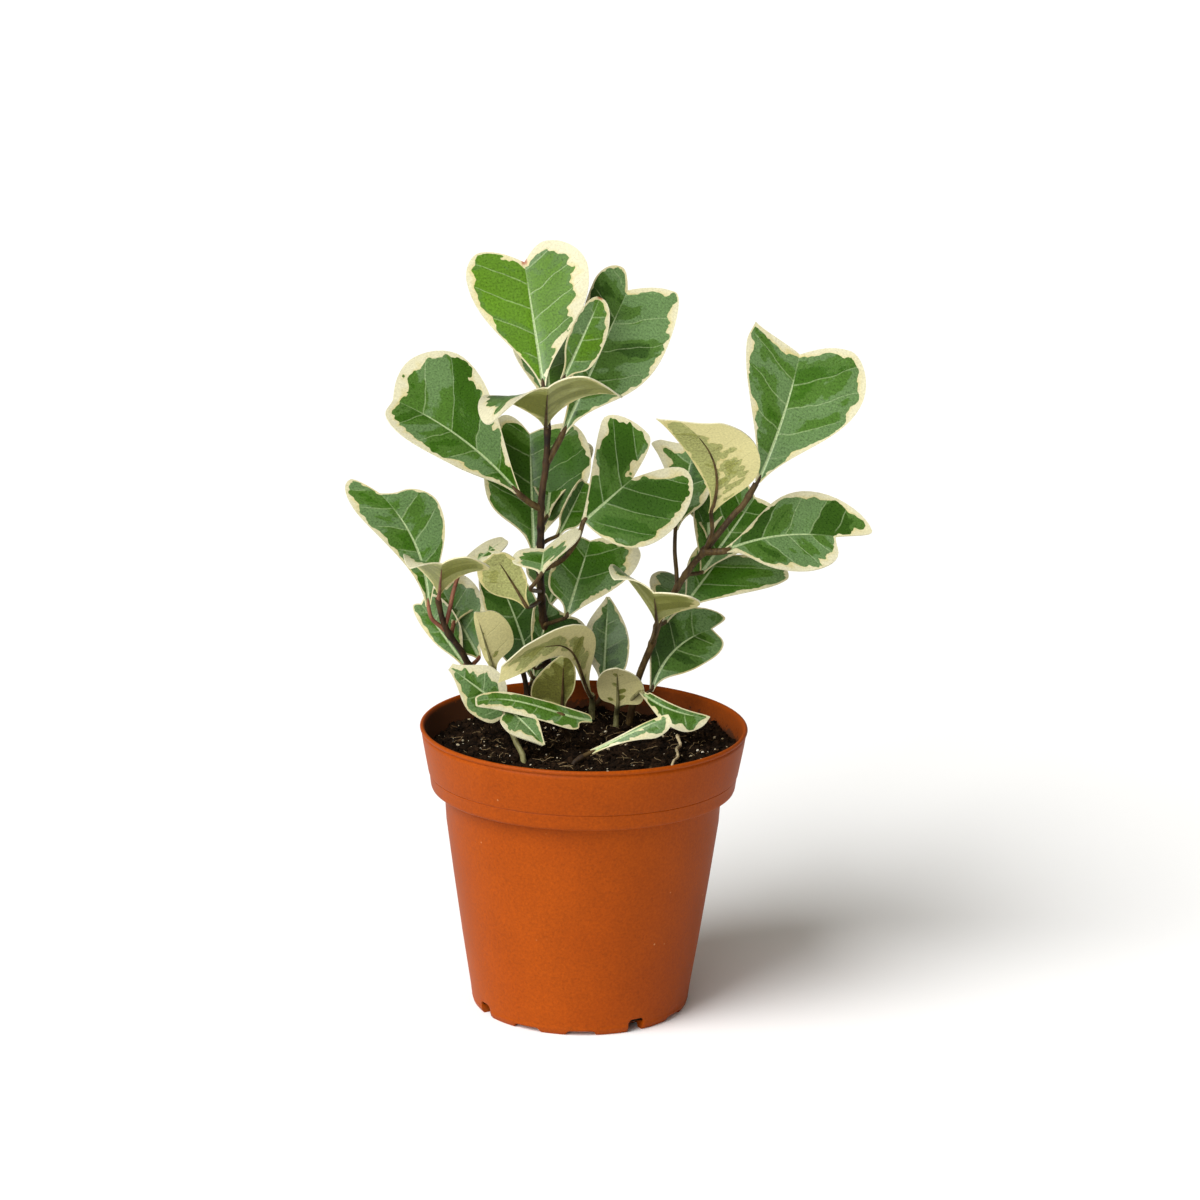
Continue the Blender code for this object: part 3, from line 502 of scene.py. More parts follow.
def halfOutline(half, length):
    # one half of the edge, from the stalk round the lobe to the notch, in millimetres
    width, rise, shoulder, crown, point, fullness = half
    root = np.array([bladeCut["root"], 0.0])
    widest = np.array([width, shoulder * length])
    peak = np.array([crown * width, length + rise])
    notch = np.array([0.0, length])
    # the curve's pulls up to the widest point, from hollow to heart-shaped, as shares of the size
    thin = ([0.05 * width, 0.75 * shoulder * length], [0.35 * width, 0.85 * shoulder * length])
    straight = (widest / 3, widest * 0.8)
    full = ([0.12 * width + root[0], 0.30 * length], [width, (shoulder - 0.40) * length])
    heart = ([0.75 * width, -0.05 * length], [width, (shoulder - 0.6) * length])
    thin, straight, full, heart = (np.array(pair) for pair in (thin, straight, full, heart))
    if fullness < 0:
        pull, push = mix(straight, thin, -fullness)
    elif fullness <= 1:
        pull, push = mix(straight, full, fullness)
    else:
        pull, push = mix(full, heart, fullness - 1)
    climb = peak[1] - widest[1]
    inward = width - peak[0]
    onward = unit(widest - push) * abs(climb) * (0.5 - 0.2 * point)
    beforePeak = peak + [inward * (0.55 * (1 - point) + 0.12 * point), -climb * 0.3 * point]
    pastPeak = peak + [-crown * width * (0.45 * (1 - point) + 0.1 * point), -rise * 0.45 * point]
    beforeNotch = notch + [crown * width * 0.22, rise * 0.35]
    first, second, third = bladeCut["rows"]
    return np.vstack([
        bezier(root, pull, push, widest, first),
        bezier(widest, widest + onward, beforePeak, peak, second)[1:],
        bezier(peak, pastPeak, beforeNotch, notch, third)[1:],
    ])


def toOutline(points, outline):
    # each point's distance to the nearest stretch of the outline
    start, run = outline[:-1], np.diff(outline, axis=0)
    offset = points[:, None] - start
    share = (offset * run).sum(2) / np.maximum((run * run).sum(1), 1e-9)
    nearest = offset - np.clip(share, 0, 1)[..., None] * run
    return np.sqrt((nearest**2).sum(2)).min(1)


def cutBlade(name, spec, seed):
    # the flat blade in its own frame, with what its materials read stored at each point
    length, columns = spec["length"], bladeCut["columns"]
    ends = [0, *bladeCut["rowEnds"]]
    shares = np.concatenate([[0.0]] + [np.linspace(start, end, rows + 1)[1:]
                                       for start, end, rows in zip(ends, ends[1:], bladeCut["rows"])])
    left, right = (halfOutline(half, length) for half in spec["halves"])
    left = left * [-1, 1]
    steps = (np.arange(columns + 1) / columns) ** bladeCut["crowding"]
    middle = np.stack([0 * shares, shares * length], 1)
    grid = np.stack([*(mix(middle, left, step) for step in steps[:0:-1]),
                     *(mix(middle, right, step) for step in steps)], 1)
    count, wide = grid.shape[:2]
    points = np.vstack([grid[:-1].reshape(-1, 2), grid[-1:, columns]])
    index = np.arange(len(points) - 1).reshape(count - 1, wide)
    corners = [index[:-1, :-1], index[:-1, 1:], index[1:, 1:], index[1:, :-1]]
    faces = np.stack(corners, 2).reshape(-1, 4).tolist()
    faces += [[*pair, len(points) - 1] for pair in np.stack([index[-1, :-1], index[-1, 1:]], 1).tolist()]
    mesh = bpy.data.meshes.new(name)
    mesh.from_pydata([(x * mm, y * mm, 0) for x, y in points], [], faces)
    uv = mesh.uv_layers.new(name="bladeMap")
    spots = np.zeros(len(mesh.loops), dtype=int)
    mesh.loops.foreach_get("vertex_index", spots)
    uv.data.foreach_set("uv", (points / length + [0.5, 0])[spots].astype(np.float32).ravel())
    toRight = np.clip(points[:, 0] / 2 + 0.5, 0, 1)
    values = {"edge": toOutline(points, np.vstack([left, right[::-1]])), "size": length, "seed": seed,
              "cream": mix(*spec["cream"], toRight), "grey": spec["grey"], "tone": spec["tone"]}
    for label, value in values.items():
        store = mesh.attributes.new(label, "FLOAT", "POINT")
        store.data.foreach_set("value", np.broadcast_to(value, len(points)).astype(np.float32))
    return addObject(name, mesh, (leafTop, leafUnder))


def makeBladeShaper():
    # bends a flat blade: along its midrib, up or down on each half, and in ripples near its edge
    halves = {f"{label} {side}": 0.01 for label in ("Width", "Fold", "Cup", "Droop")
              for side in ("Left", "Right")}
    blade, length, bend, sway, weave, ripple, droopPower, seed, material, *hands = beginTree(
        "GeometryNodeTree", "bladeShaper",
        {"Geometry": "Geometry", "Length": 0.03, "Bend": 1.0, "Sway": 0.0, "Weave": 0.0, "Ripple": 0.0005,
         "Droop Power": 3.0, "Seed": 0.0, "Material": "Material", **halves})
    place = node("GeometryNodeInputPosition")
    x = node("ShaderNodeSeparateXYZ", (place,))
    y, out = x.output("Y"), x.math("ABSOLUTE")
    onRight = x.math("GREATER_THAN", 0.0)
    width, fold, cup, droop = (left * (1.0 - onRight) + right * onRight
                               for left, right in zip(hands[::2], hands[1::2]))
    share = y / length
    high = share.math("MINIMUM", 1.2)
    reach = out / width
    # each half leaves the midrib at its fold and curves on at its arch
    arch = cup * (high * 0.75 + 0.45) / width + 0.5
    angle = fold + arch * out
    across = (angle.math("SINE") - fold.math("SINE")) / arch
    lift = (fold.math("COSINE") - angle.math("COSINE")) / arch
    lift = lift - droop * reach.math("POWER", droopPower) * high.math("POWER", 3.0)
    seedShift = combine(seed * 3.1, seed * 1.7, seed)
    ripples = noiseAt(place.vector("ADD", seedShift), bladeCut["rippleScale"], 2.0) - 0.5
    ripples = ripples * bladeCut["rippleShare"]
    wave = (share * bladeCut["waveTurns"] + seed * 2.0 + onRight * 2.6).math("SINE") * bladeCut["waveShare"]
    edgeReach = reach.math("MINIMUM", 1.3)
    lift = lift + (ripples + wave * edgeReach) * edgeReach * ripple
    groove = (out / (bladeCut["grooveWidth"] * mm)).math("POWER", 2.0) + 1.0
    lift = lift - (1.0 - share * 0.8) * (bladeCut["grooveDepth"] * mm) / groove
    # then the whole blade bends about its width
    turn = bend * y
    drop = (1.0 - turn.math("COSINE")) / bend
    along = turn.math("SINE") / bend
    aside = (sway * 4.0 + weave * 10.0 * (1.0 - share * 2.0)) * share * (1.0 - share)
    bent = combine((onRight * 2.0 - 1.0) * across + aside, along + lift * turn.math("SINE"),
                   lift * turn.math("COSINE") - drop)
    shaped = node("GeometryNodeSetPosition", {"Geometry": blade, "Position": bent})
    return endShape(node("GeometryNodeSetShadeSmooth", {"Geometry": shaped}), material)


bladeShaper = makeBladeShaper()


def makeLeaf(name, spec, seed):
    blade = cutBlade(name, spec, seed)
    values = {"Bend": spec["bend"] / mm, "Droop Power": float(spec["droopPower"]), "Seed": float(seed),
              "Material": leafTop}
    values.update({label.title(): spec[label] * mm for label in ("length", "sway", "weave", "ripple")})
    for hand, side in enumerate(("Left", "Right")):
        values["Width " + side] = spec["halves"][hand][0] * mm
        values["Fold " + side] = math.radians(spec["fold"][hand])
        values["Cup " + side] = math.radians(spec["cup"][hand])
        values["Droop " + side] = spec["droop"][hand] * mm
    addNodes(blade, bladeShaper, values)
    wall = blade.modifiers.new("thickness", "SOLIDIFY")
    wall.thickness = bladeCut["thickness"] * mm
    wall.offset = 0
    wall.material_offset = 1
    axes = [spec["across"], spec["forward"], spec["upper"], spec["base"] * mm]
    blade.matrix_world = Matrix([[*(axis[row] for axis in axes)] for row in range(3)] + [[0, 0, 0, 1]])
    bpy.context.view_layer.update()
    blade = freeze(blade)
    blade.data.set_sharp_from_angle(angle=math.radians(bladeCut["sharp"]))
    return blade


def midrib(spec, share, below=0.0):
    # a point of the bent midrib, some way under the blade
    y = share * spec["length"]
    turn = spec["bend"] * y
    shift = (4 * spec["sway"] + 10 * spec["weave"] * (1 - 2 * share)) * share * (1 - share)
    normal = spec["upper"] * math.cos(turn) + spec["forward"] * math.sin(turn)
    return (spec["base"] + spec["forward"] * math.sin(turn) / spec["bend"]
            - spec["upper"] * (1 - math.cos(turn)) / spec["bend"] + spec["across"] * shift - normal * below)


# Stems and stalks: Geometry Nodes skin a route with a tube that swells where leaves grow
stemCut = {
    "spacing": 0.7, "ringHeight": 0.22, "ringWidth": 0.9, "roughness": 0.1, "sides": 14, "stalkSides": 9,
    "stalkSpacing": 0.8, "stalkRoughness": 0.05, "ribShares": (0.0, 0.08, 0.2, 0.35, 0.5, 0.65, 0.78),
    "ribEnd": 0.85, "ribDepth": 0.18, "ribRise": 12, "ribBulk": 0.95, "ribTip": 0.12, "flare": 1.15,
    "curveSteps": 6, "stemSeed": 7.3, "leafSeed": 1.37,
}


def smoothRoute(points, steps=8):
    # a smooth curve through the points, with as many steps between each two
    points = np.array(points, float)
    ends = [2 * points[0] - points[1], *points, 2 * points[-1] - points[-2]]
    line = []
    for before, start, end, after in zip(ends, ends[1:], ends[2:], ends[3:]):
        for t in np.linspace(0, 1, steps, endpoint=False):
            line.append(0.5 * (2 * start + (end - before) * t
                               + (2 * before - 5 * start + 4 * end - after) * t * t
                               + (3 * start - before - 3 * end + after) * t**3))
    line.append(points[-1])
    return np.array(line)


def evenly(line, spacing):
    # points along a line at an even distance, and how far along each one is
    run = np.concatenate([[0], np.cumsum(np.linalg.norm(np.diff(line, axis=0), axis=1))])
    places = np.linspace(0, run[-1], max(int(run[-1] / spacing), 2) + 1)
    return np.stack([np.interp(places, run, line[:, axis]) for axis in range(3)], 1), places


def makeTubeSkin():
    curve, roughness, grain, sides, material = beginTree("GeometryNodeTree", "tubeSkin", {
        "Geometry": "Geometry", "Roughness": 0.1, "Grain": 500.0, "Sides": "Int", "Material": "Material"})
    place = node("GeometryNodeInputPosition")
    swell = (noiseAt(place, grain, 3.0) - 0.5) * roughness * 2.0 + 1.0
    radius = node("GeometryNodeInputRadius") * swell
    ring = node("GeometryNodeCurvePrimitiveCircle", {"Resolution": sides, "Radius": 1.0})
    skin = node("GeometryNodeCurveToMesh",
                {"Curve": curve, "Profile Curve": ring, "Scale": radius, "Fill Caps": True})
    knobs = (noiseAt(place, grain * 1.7, 2.0) - 0.5) * roughness * mm
    shift = node("GeometryNodeInputNormal").scaled(knobs)
    skin = node("GeometryNodeSetPosition", {"Geometry": skin, "Offset": shift})
    return endShape(node("GeometryNodeSetShadeSmooth", {"Geometry": skin}), material)


tubeSkin = makeTubeSkin()


def makeTubes(name, routes, roughness, sides, material):
    # routes are pairs of points and radii in millimetres
    curve = bpy.data.curves.new(name, "CURVE")
    curve.dimensions = "3D"
    for points, radii in routes:
        spline = curve.splines.new("POLY")
        spline.points.add(len(points) - 1)
        for spot, point, radius in zip(spline.points, points, radii):
            spot.co = (*(point * mm), 1)
            spot.radius = radius * mm
    item = addObject(name, curve)
    addNodes(item, tubeSkin, {"Roughness": roughness, "Sides": sides, "Material": material})
    return freeze(item)


def makeStem(stem, number):
    kind, place = stem["node"].split("_")
    name = place + kind.title()
    leaves, stalks = stem["leaves"], {}
    root, *rest = stem["route"]
    line, places = evenly(np.vstack([root, smoothRoute(rest)]), stemCut["spacing"])
    radii = np.interp(places, [0, places[-1]], stem["radius"])
    for spec in leaves:
        # the stem swells where the stalk leaves it, and the stalk goes on as the rib under the blade
        knot = places[np.linalg.norm(line - (spec["stalk"] or [spec["base"]])[0], axis=1).argmin()]
        radii *= 1 + stemCut["ringHeight"] * np.exp(-(((places - knot) / stemCut["ringWidth"]) ** 2))
        thick = spec["stalkRadius"]
        shares = [spec["join"] + share for share in stemCut["ribShares"]]
        bulks = [thick * min(1, share * stemCut["ribRise"]) * (1 - share) * stemCut["ribBulk"]
                 for share in shares]
        rib = [midrib(spec, share, stemCut["ribDepth"] + bulk)
               for share, bulk in zip(shares, bulks) if share < stemCut["ribEnd"]]
        way = smoothRoute([*spec["stalk"], *rib], stemCut["curveSteps"])
        way, at = evenly(way, stemCut["stalkSpacing"])
        start = np.linalg.norm(way - rib[0], axis=1).argmin()
        taper = np.interp(at, [0, at[start], at[-1]], [thick * stemCut["flare"], thick, stemCut["ribTip"]])
        stalks.setdefault(spec["stalkKind"] or stem.get("stalkKind", "stalk"), []).append((way, taper))
    bark = barks[stem.get("bark", "bark")]
    pieces = [makeTubes("wood", [(line, radii)], stemCut["roughness"], stemCut["sides"], bark)]
    pieces += [makeTubes("stalks", routes, stemCut["stalkRoughness"], stemCut["stalkSides"], barks[kind])
               for kind, routes in stalks.items()]
    pieces += [makeLeaf(f"leaf{order}", spec, number * stemCut["stemSeed"] + order * stemCut["leafSeed"])
               for order, spec in enumerate(leaves)]
    piece = joinObjects(name, pieces)
    finishPiece(piece, "foliage", stem["node"])
    print(name, "made:", len(leaves), "leaves,", len(piece.data.polygons), "faces")


centreStem = {
    "node": "stem_centre", "radius": (1.45, 0.95),
    "route": [(-10.9, 22.6, 64), (-11, 22, 88), (-12, 19.5, 104), (-13, 15.5, 117), (-13.9, 11, 128.5),
              (-14.3, 8, 140), (-14.2, 6, 149), (-14.2, 5, 157.5), (-13.8, 5, 164), (-12.8, 6, 171.5),
              (-12.6, 8, 183.5), (-13.6, 8, 194)],
    "leaves": [
        # the fresh leaf at the top, and the narrow one beside it
        leaf((-14, 8, 195.5), (-20.5, 24, 231), (-95, 20), (18.5, 5, 0.92, 0.70, 0, 0.9),
             (19.2, 5.5, 0.88, 0.40), [(-13.5, 8, 190)], (1.2, 3.2, -0.1, 1.0), fold=(6, 0), curl=-10),
        leaf((-8, 6, 198), (3, 12, 222.5), (-80, 0), (4.6, 0, 0.6, 0.1), (7, 0, 0.5, 0.1, 0, 1.2),
             [(-13.3, 8, 189), (-10.8, 6.6, 194)], (0.8, 1.3, 0.5, 1.0)),
        # the dark leaf behind it, and the saddle that hangs out to the front
        leaf((-8, 10, 180), (11.5, 34, 221), (-85, 15), (11, 6, 0.95, 0.42), (18.5, 5.5, 0.72, 0.75),
             [(-12.8, 6, 171.5), (-10.2, 8, 176)], (0.7, 1.5, 0.55, 0.12), fold=8, stalkRadius=1.0),
        leaf((-13, 2, 184.5), (-12, -34, 203.5), (90, 60), (24, 4, 0.8, 0.5, 0.5), (21, 3, 0.8, 0.75),
             [(-12.6, 8, 182.5)], (1.6, 3.2, 0.6, 0.3), fold=(36, 12), cup=(-73, 0), droop=(0, 17),
             droopPower=1.4),
        # the wide leaf on the left, and the one behind the stem
        leaf((-21, 0, 163.5), (-60, 8, 190.5), (-75, 50), (12.5, -0.5, 0.72, 0.35, 0, 1.2),
             (25, 4, 0.82, 0.55, 0, 0.5), [(-14.2, 5, 157.5), (-17.5, 2.5, 160)], (2.0, 3.2, 0.6, 0.4),
             curl=15, sway=2.5, stalkRadius=0.95),
        leaf((-16.5, 14, 141.5), (-18.5, 34, 175), (-90, 25), (15, 6, 0.6, 0.5), (19, 3, 0.75, 0.6),
             [(-14.3, 8, 140), (-15.8, 11, 140.5)], (1.3, 1.5, 0.05, 0.3), fold=(12, 2), curl=15),
        # the slim leaf, the glossy heart and the broad leaf on the right
        leaf((-9, 10, 148), (-1, 22, 162.5), (-60, 20), (3.5, 0, 0.5, 0.4), (5, 0, 0.5, 0.4),
             [(-14.2, 6, 146), (-12, 8, 147)], (0.7, 0.7, 0.2), fold=20),
        leaf((-1, -4, 156), (14, 2, 168.5), (-85, 20), (19.5, 12.5, 1.2, 0.35, 0, 0.2),
             (20, 14, 0.85, 0.47, 0, 1.8), [(-14.2, 8.5, 137), (-7.5, 3, 142), (-3, -2.5, 149.5)],
             (2.2, 1.7, 0.3, 0.35), fold=5, curl=5, stalkRadius=0.75),
        leaf((-6, 2, 124), (1, 12, 146), (-80, 25), (9.2, 0.3, 0.48, 0.4), (16.5, 4, 0.97, 0.6, 0, 1.1),
             [(-13.2, 14.8, 118), (-9.5, 8, 121)], (0.8, 2.0, 0.5, 0.5), curl=15),
        # the small pale leaf in front of the stem
        leaf((-13.5, -16, 142.5), (-13, 0, 146), (-90, 75), (9.5, 1, 0.6, 0.5), (14, 3, 0.7, 0.6),
             [(-14, 10.4, 130), (-17, -5, 134.5), (-15.5, -13, 138.5)], (3.2, 4.4, 1.1), fold=(-5, 35)),
        # the leaves low on the stem
        leaf((-18, -3, 128.5), (-28.5, -8, 146.5), (90, 10), (5, -1, 0.6, 0.4), (8.5, -1, 0.65, 0.5),
             [(-13.8, 11.8, 127), (-16.5, 4, 127)], (1.6, 0.8, 1.5), fold=0, curl=20),
        leaf((-16.5, 14, 101.5), (-28, 16, 133.5), (-90, 25), (8.5, 2, 0.5, 0.5, 0, 1.2),
             (8.5, 2, 0.6, 0.5), [(-11.8, 20, 100), (-14.5, 16, 100)], (0.5, 0.5, 0.1, 0.2), fold=8,
             sway=1),
        leaf((-16, 12, 105), (-11.5, 17, 125), (-60, 25), (5, 2.5, 0.85, 0.5), (15, -3, 0.6, 0.6),
             [(-12, 19.2, 104.5), (-14.6, 15, 104)], (0.8, 0.7, 0.15, 0.2), fold=4),
        # the leaves on the far side
        leaf((-12.5, 14, 153), (-10, 48, 168), (-90, 60), (12, 4, 0.85, 0.5), (12, 4, 0.85, 0.5),
             [(-14.2, 5.6, 151.5)], (2, 1.4), curl=30),
        leaf((-12, 21, 122), (-6, 49, 128), (-100, 60), (12, 3, 0.8, 0.5), (10, 3, 0.85, 0.5),
             [(-13.2, 14.5, 119.5)], (1.2, 2.4, 0.5), curl=30),
        leaf((-12, 15, 186), (-14, 44, 204), (-85, 55), (11, 3, 0.85, 0.5), (12, 4, 0.8, 0.5),
             [(-12.7, 7.4, 181)], (1.5, 2.0, 0.4, 0.6), curl=25),
    ],
}

leftStem = {
    "node": "stem_left", "radius": (1.3, 0.85), "stalkKind": "redStalk",
    "route": [(-15, 15.5, 71), (-27.6, 8.2, 93.5), (-31.7, 5.8, 100.6), (-36.3, 3, 108.5),
              (-38.6, 2, 113), (-42.8, 1, 119.3), (-44.6, 0, 125), (-45.5, -2, 130.5)],
    "leaves": [
        # the leaf that ends in a long point, on its red stalk, and the saddle at the stem's end
        leaf((-48.5, 0, 127.5), (-64, 6, 161.5), (-75, 20), (10.3, 7.5, 0.86, 0.3, 0, 0.6),
             (12.8, -2, 0.74, 0.45, 0, 0.6), [(-42.4, 1, 118.6), (-45, 0.5, 121), (-47.5, 0, 123.5)],
             (1.1, 0.6, 0.7, 0.5), fold=4, sway=3.7),
        leaf((-45, -4, 132.5), (-43, -32, 149), (90, 60), (15, 3, 0.8, 0.5, 0.2),
             (13.5, 3, 0.7, 0.8, 0.1), [(-45.4, -1.5, 129.5)], (1.2, 2.6, 0.6), fold=(28, 36),
             cup=(-50, -10), droop=(0, 7.5), droopPower=1),
        # the pale edge that shows behind it, and the leaves along the stem
        leaf((-39.5, 8, 135.5), (-25.5, 20, 144), (-90, 60), (3.5, 0, 0.55, 0.3, 0, 1.2),
             (3.5, 0, 0.55, 0.3, 0, 1.2), [(-43.3, 0.8, 121), (-42, 2, 126), (-41, 4.5, 131)], (9, 9, 0.8)),
        leaf((-33, 8, 109), (-45, 18, 128), (-85, 20), (6.5, 2, 0.55, 0.5, 0, 1.4),
             (10, 2, 0.75, 0.6, 0, 1.1), [(-35.6, 3.4, 107.3)], (0.7, 1.6, 0.4, 0.6)),
        leaf((-37, 6, 106.5), (-51.5, 12, 125), (-100, 30), (4, 1, 0.7, 0.5), (7, 1, 0.7, 0.5),
             [(-34.6, 4, 105.5)], (1, 1.2)),
        leaf((-28, -2, 107), (-33.5, -10, 128.5), (100, 10), (9, -1, 0.5, 0.3), (1.8, 0, 0.5, 0.2),
             [(-30.5, 6.5, 98.5), (-28.8, 2, 102)], (18, 18, 1.0), fold=4, stalkKind="greenStalk"),
        leaf((-41, 8, 120), (-36, 30, 124), (-90, 65), (8, 2, 0.8, 0.5), (8, 2, 0.8, 0.5),
             [(-41.5, 1.3, 117.4)], (1.5, 1.5), curl=30),
    ],
}

rightStem = {
    "node": "stem_right", "radius": (1.2, 0.95), "bark": "stalk",
    "route": [(10.9, 30.3, 64), (14.9, 23.3, 88), (16.8, 20, 99.5), (21.2, 16, 113), (23.2, 14, 121),
              (28, 10, 131.5), (33, 8, 140), (36.3, 7, 144.3), (44.7, 8, 155.3), (48.2, 9, 159),
              (52, 10, 165.5)],
    "leaves": [
        # the big leaf at the end, and the one that curls over to show its pale underside
        leaf((52.5, 10, 166), (65, 24, 203.5), (-80, 20), (17.5, 4.6, 0.95, 0.92, 0.8, 0.6),
             (22.5, 6, 0.82, 0.68, 0, 0.7), [(50, 9.5, 162)], (1.6, 1.8, 0.8, 0.45), sway=1),
        leaf((38, -2, 159), (27.5, -22, 191.5), (80, 15), (14.5, -3, 0.6, 0.6, 0, 1.3),
             (7, 2.5, 0.7, 0.75, 0.8, 0.8), [(36.3, 7, 144.3), (38.5, 3, 151)], (10.5, 0.9, 1.2, 0.6),
             fold=0, curl=20, sway=-5.5),
        # the two leaves behind the stem
        leaf((27.5, 14, 149.5), (33, 26, 173.5), (-90, 25), (13, -0.5, 0.9, 0.8, 0.3, -0.4),
             (8, 1, 0.6, 0.5), [(28.3, 9.9, 132), (28, 11, 137), (27.4, 12.5, 143)], (2.2, 1.8, 0.9, 0.3),
             fold=4),
        leaf((36, 14, 136), (52.5, 26, 157.5), (-80, 25), (17, 3, 0.85, 0.6, 0, 1.2), (9, 1, 0.8, 0.6),
             [(31, 8.8, 136.5)], (0.8, 2.0, 0.4, 0.35), fold=4),
        # the two leaves that reach out to the right
        leaf((42.5, 4, 145.5), (77, 10, 149), (-80, 50), (15.8, 12, 0.87, 0.34, 0.05),
             (15, -0.5, 0.66, 0.35, 0, 1.1), [(36.3, 7, 144.3), (39.5, 5.3, 144.8)], (1.6, 2.2, 0.6, 0.2),
             sway=-2.4, stalkRadius=1.05),
        leaf((30.5, 12, 125.5), (42.5, 22, 139.5), (-80, 35), (8, 2, 0.8, 0.5),
             (21, 9, 1.25, 0.75, 0.2, 0.5), [(25.2, 12.3, 125.5)], (0.6, 0.9, 0.35, 0.45)),
        # the saddle in front of the stem, and the crinkled leaf near the soil
        leaf((22, -2, 124), (20.5, -32, 141), (90, 60), (14, 1, 0.8, 0.7), (19.5, 3, 0.8, 0.85, 0.3),
             [(20.8, 16.3, 112), (21.8, 8, 117.5)], (2.0, 2.2, 0.5), fold=(0, 50), cup=(-15, -10),
             droop=(0, 8), droopPower=1.4),
        leaf((21, 16, 97), (40, 28, 114), (-75, 20), (10.5, 5.8, 0.78, 0.35, 0, 1.2), (9.5, 0, 0.72, 0.4),
             [(15.9, 21.6, 93.5), (18.5, 18.5, 94.5)], (0.25, 0.25, 0.12, 0.1), sway=-3.8, ripple=1.1),
        # the leaves on the far side
        leaf((38, 14, 147), (37, 42, 159), (-90, 60), (11, 3, 0.8, 0.5), (12, 3, 0.85, 0.5),
             [(37, 7.2, 145.4)], (1.4, 2.2), curl=30),
        leaf((25, 21, 118), (31, 45, 125), (-80, 60), (10, 3, 0.8, 0.5), (9, 3, 0.85, 0.5),
             [(22.4, 14.8, 118)], (1.8, 1.2, 0.5), curl=25),
    ],
}

middleShoot = {
    "node": "shoot_middle", "radius": (1.1, 0.8), "bark": "greenStalk",
    "route": [(2.6, 25.5, 68), (2.4, 25, 88), (2.4, 22.5, 91.5), (2.3, 16, 95.2)],
    "leaves": [
        leaf((1.8, 14, 95.6), (-25.5, -14, 112.3), (90, 20), (10.2, 0, 0.6, 1.0, 0, 0.9),
             (6.5, -0.5, 0.8, 0.9, 0, -0.6), [(2.3, 17.5, 94.2)], (6.5, 5, 0.9), fold=(0, -30), curl=30,
             sway=-12.5, weave=3),
        leaf((5.8, 24, 94.5), (7, 32, 123), (-90, 10), (6.6, 0, 0.62, 0.1, 0.8),
             (7.8, 0, 0.48, 0.06, 0.6, 1.2), [(2.4, 24.8, 88.5), (4.6, 24.6, 91)], (3.4, 0.5, 0.8, 0.2),
             fold=(-6, 14)),
    ],
}
uprightShoot = {
    "node": "shoot_upright", "radius": (0.9, 0.75),
    "route": [(-7, 12.8, 70), (-7, 11.6, 88), (-7, 11.2, 90.5)],
    "leaves": [
        leaf((-7, 11, 91.5), (-6.6, 6, 110.5), (90, 10), (4.0, 0, 0.6, 0.2), (10, 0, 0.3, 0.1, 0.6, 1.0),
             [(-7, 11.5, 89.5)], (0.4, 0.6, 0.2, 0.0), fold=4),
    ],
}
lowShoot = {
    "node": "shoot_low", "radius": (0.9, 0.75),
    "route": [(-4.4, -3.5, 70), (-4.8, -4, 87.5), (-6, -7, 91), (-6.4, -10.5, 92.8)],
    "leaves": [
        leaf((2.5, -12, 95), (-33, -22, 103.2), (-75, 60), (4.5, 0, 0.3, 0.25, 0, 0.85),
             (3.1, 0, 0.55, 0.5, 0, 1.8), [(-6.2, -9.5, 92)], (2.0, 0.5, 0.7, 0.6), curl=20, sway=0.8,
             weave=-1.3, join=0.25, fold=(-10, 6), cup=(-45, 0)),
    ],
}
leftShoot = {
    "node": "shoot_left", "radius": (1.0, 0.75), "bark": "greenStalk", "stalkKind": "greenStalk",
    "route": [(-15.5, -28, 72), (-18.5, -25.8, 88), (-20.8, -22.8, 91.5), (-23, -19, 96),
              (-25, -15.4, 100.3)],
    "leaves": [
        leaf((-22, -9, 95.5), (-41.5, -8, 110), (-80, 30), (8.0, 0, 0.45, 0.1, 1, 1.3),
             (8.0, 0, 0.55, 0.2, 1, 1), [(-21.8, -21, 93.4), (-22.2, -14, 93.4)], (1.0, 6.0, 0.8, 0.3)),
        leaf((-25, -15, 100.5), (-12, -26, 91), (-60, 40), (5, 0, 0.4, 0.1, 0.8), (7.0, 0, 0.5, 0.1, 0.8),
             [], (1.0, 3.0, 0.6, 0.2), curl=20),
    ],
}
rightShoot = {
    "node": "shoot_right", "radius": (1.0, 0.75), "bark": "greenStalk", "stalkKind": "greenStalk",
    "route": [(9.6, 23, 70), (10.2, 22, 87.5), (10.4, 18, 90.5), (10.5, 13.5, 92.3)],
    "leaves": [
        leaf((10.5, 12, 93), (10, 2, 108), (90, 20), (8.5, -1, 0.38, 0.25, 0.3, 1.5),
             (6.5, 0, 0.5, 0.3, 0, 1.4), [(10.5, 14, 92)], (22, 22, 0), fold=-10, curl=40),
        leaf((17.5, 6, 99.5), (38.9, -4, 94), (-75, 55), (2.2, 0, 0.3, 0.15, 0, 0.8),
             (6.2, 0, 0.78, 0.3, 0, 0.7), [(10.4, 17, 91), (14, 12, 94.5)], (0.6, 2.6, 0.3, 0.35),
             curl=20, sway=3.6, fold=(6, 4), cup=(0, -50)),
    ],
}
frontShoot = {
    "node": "shoot_front", "radius": (0.9, 0.75),
    "route": [(-3.4, -32.4, 72), (-3.2, -32.2, 86), (-2.4, -31.6, 87.6), (0, -30.3, 89)],
    "leaves": [
        leaf((2.5, -29, 90), (26, -25, 100.5), (-90, 45), (1.3, 0, 0.7, 0.4, 0, 0),
             (4.3, 0, 0.7, 0.4, 0, -0.3), [(-0.5, -30.6, 88.8)], (0.6, 2.6, 0.6, 0.35), fold=(6, 0),
             cup=(-30, -40)),
    ],
}
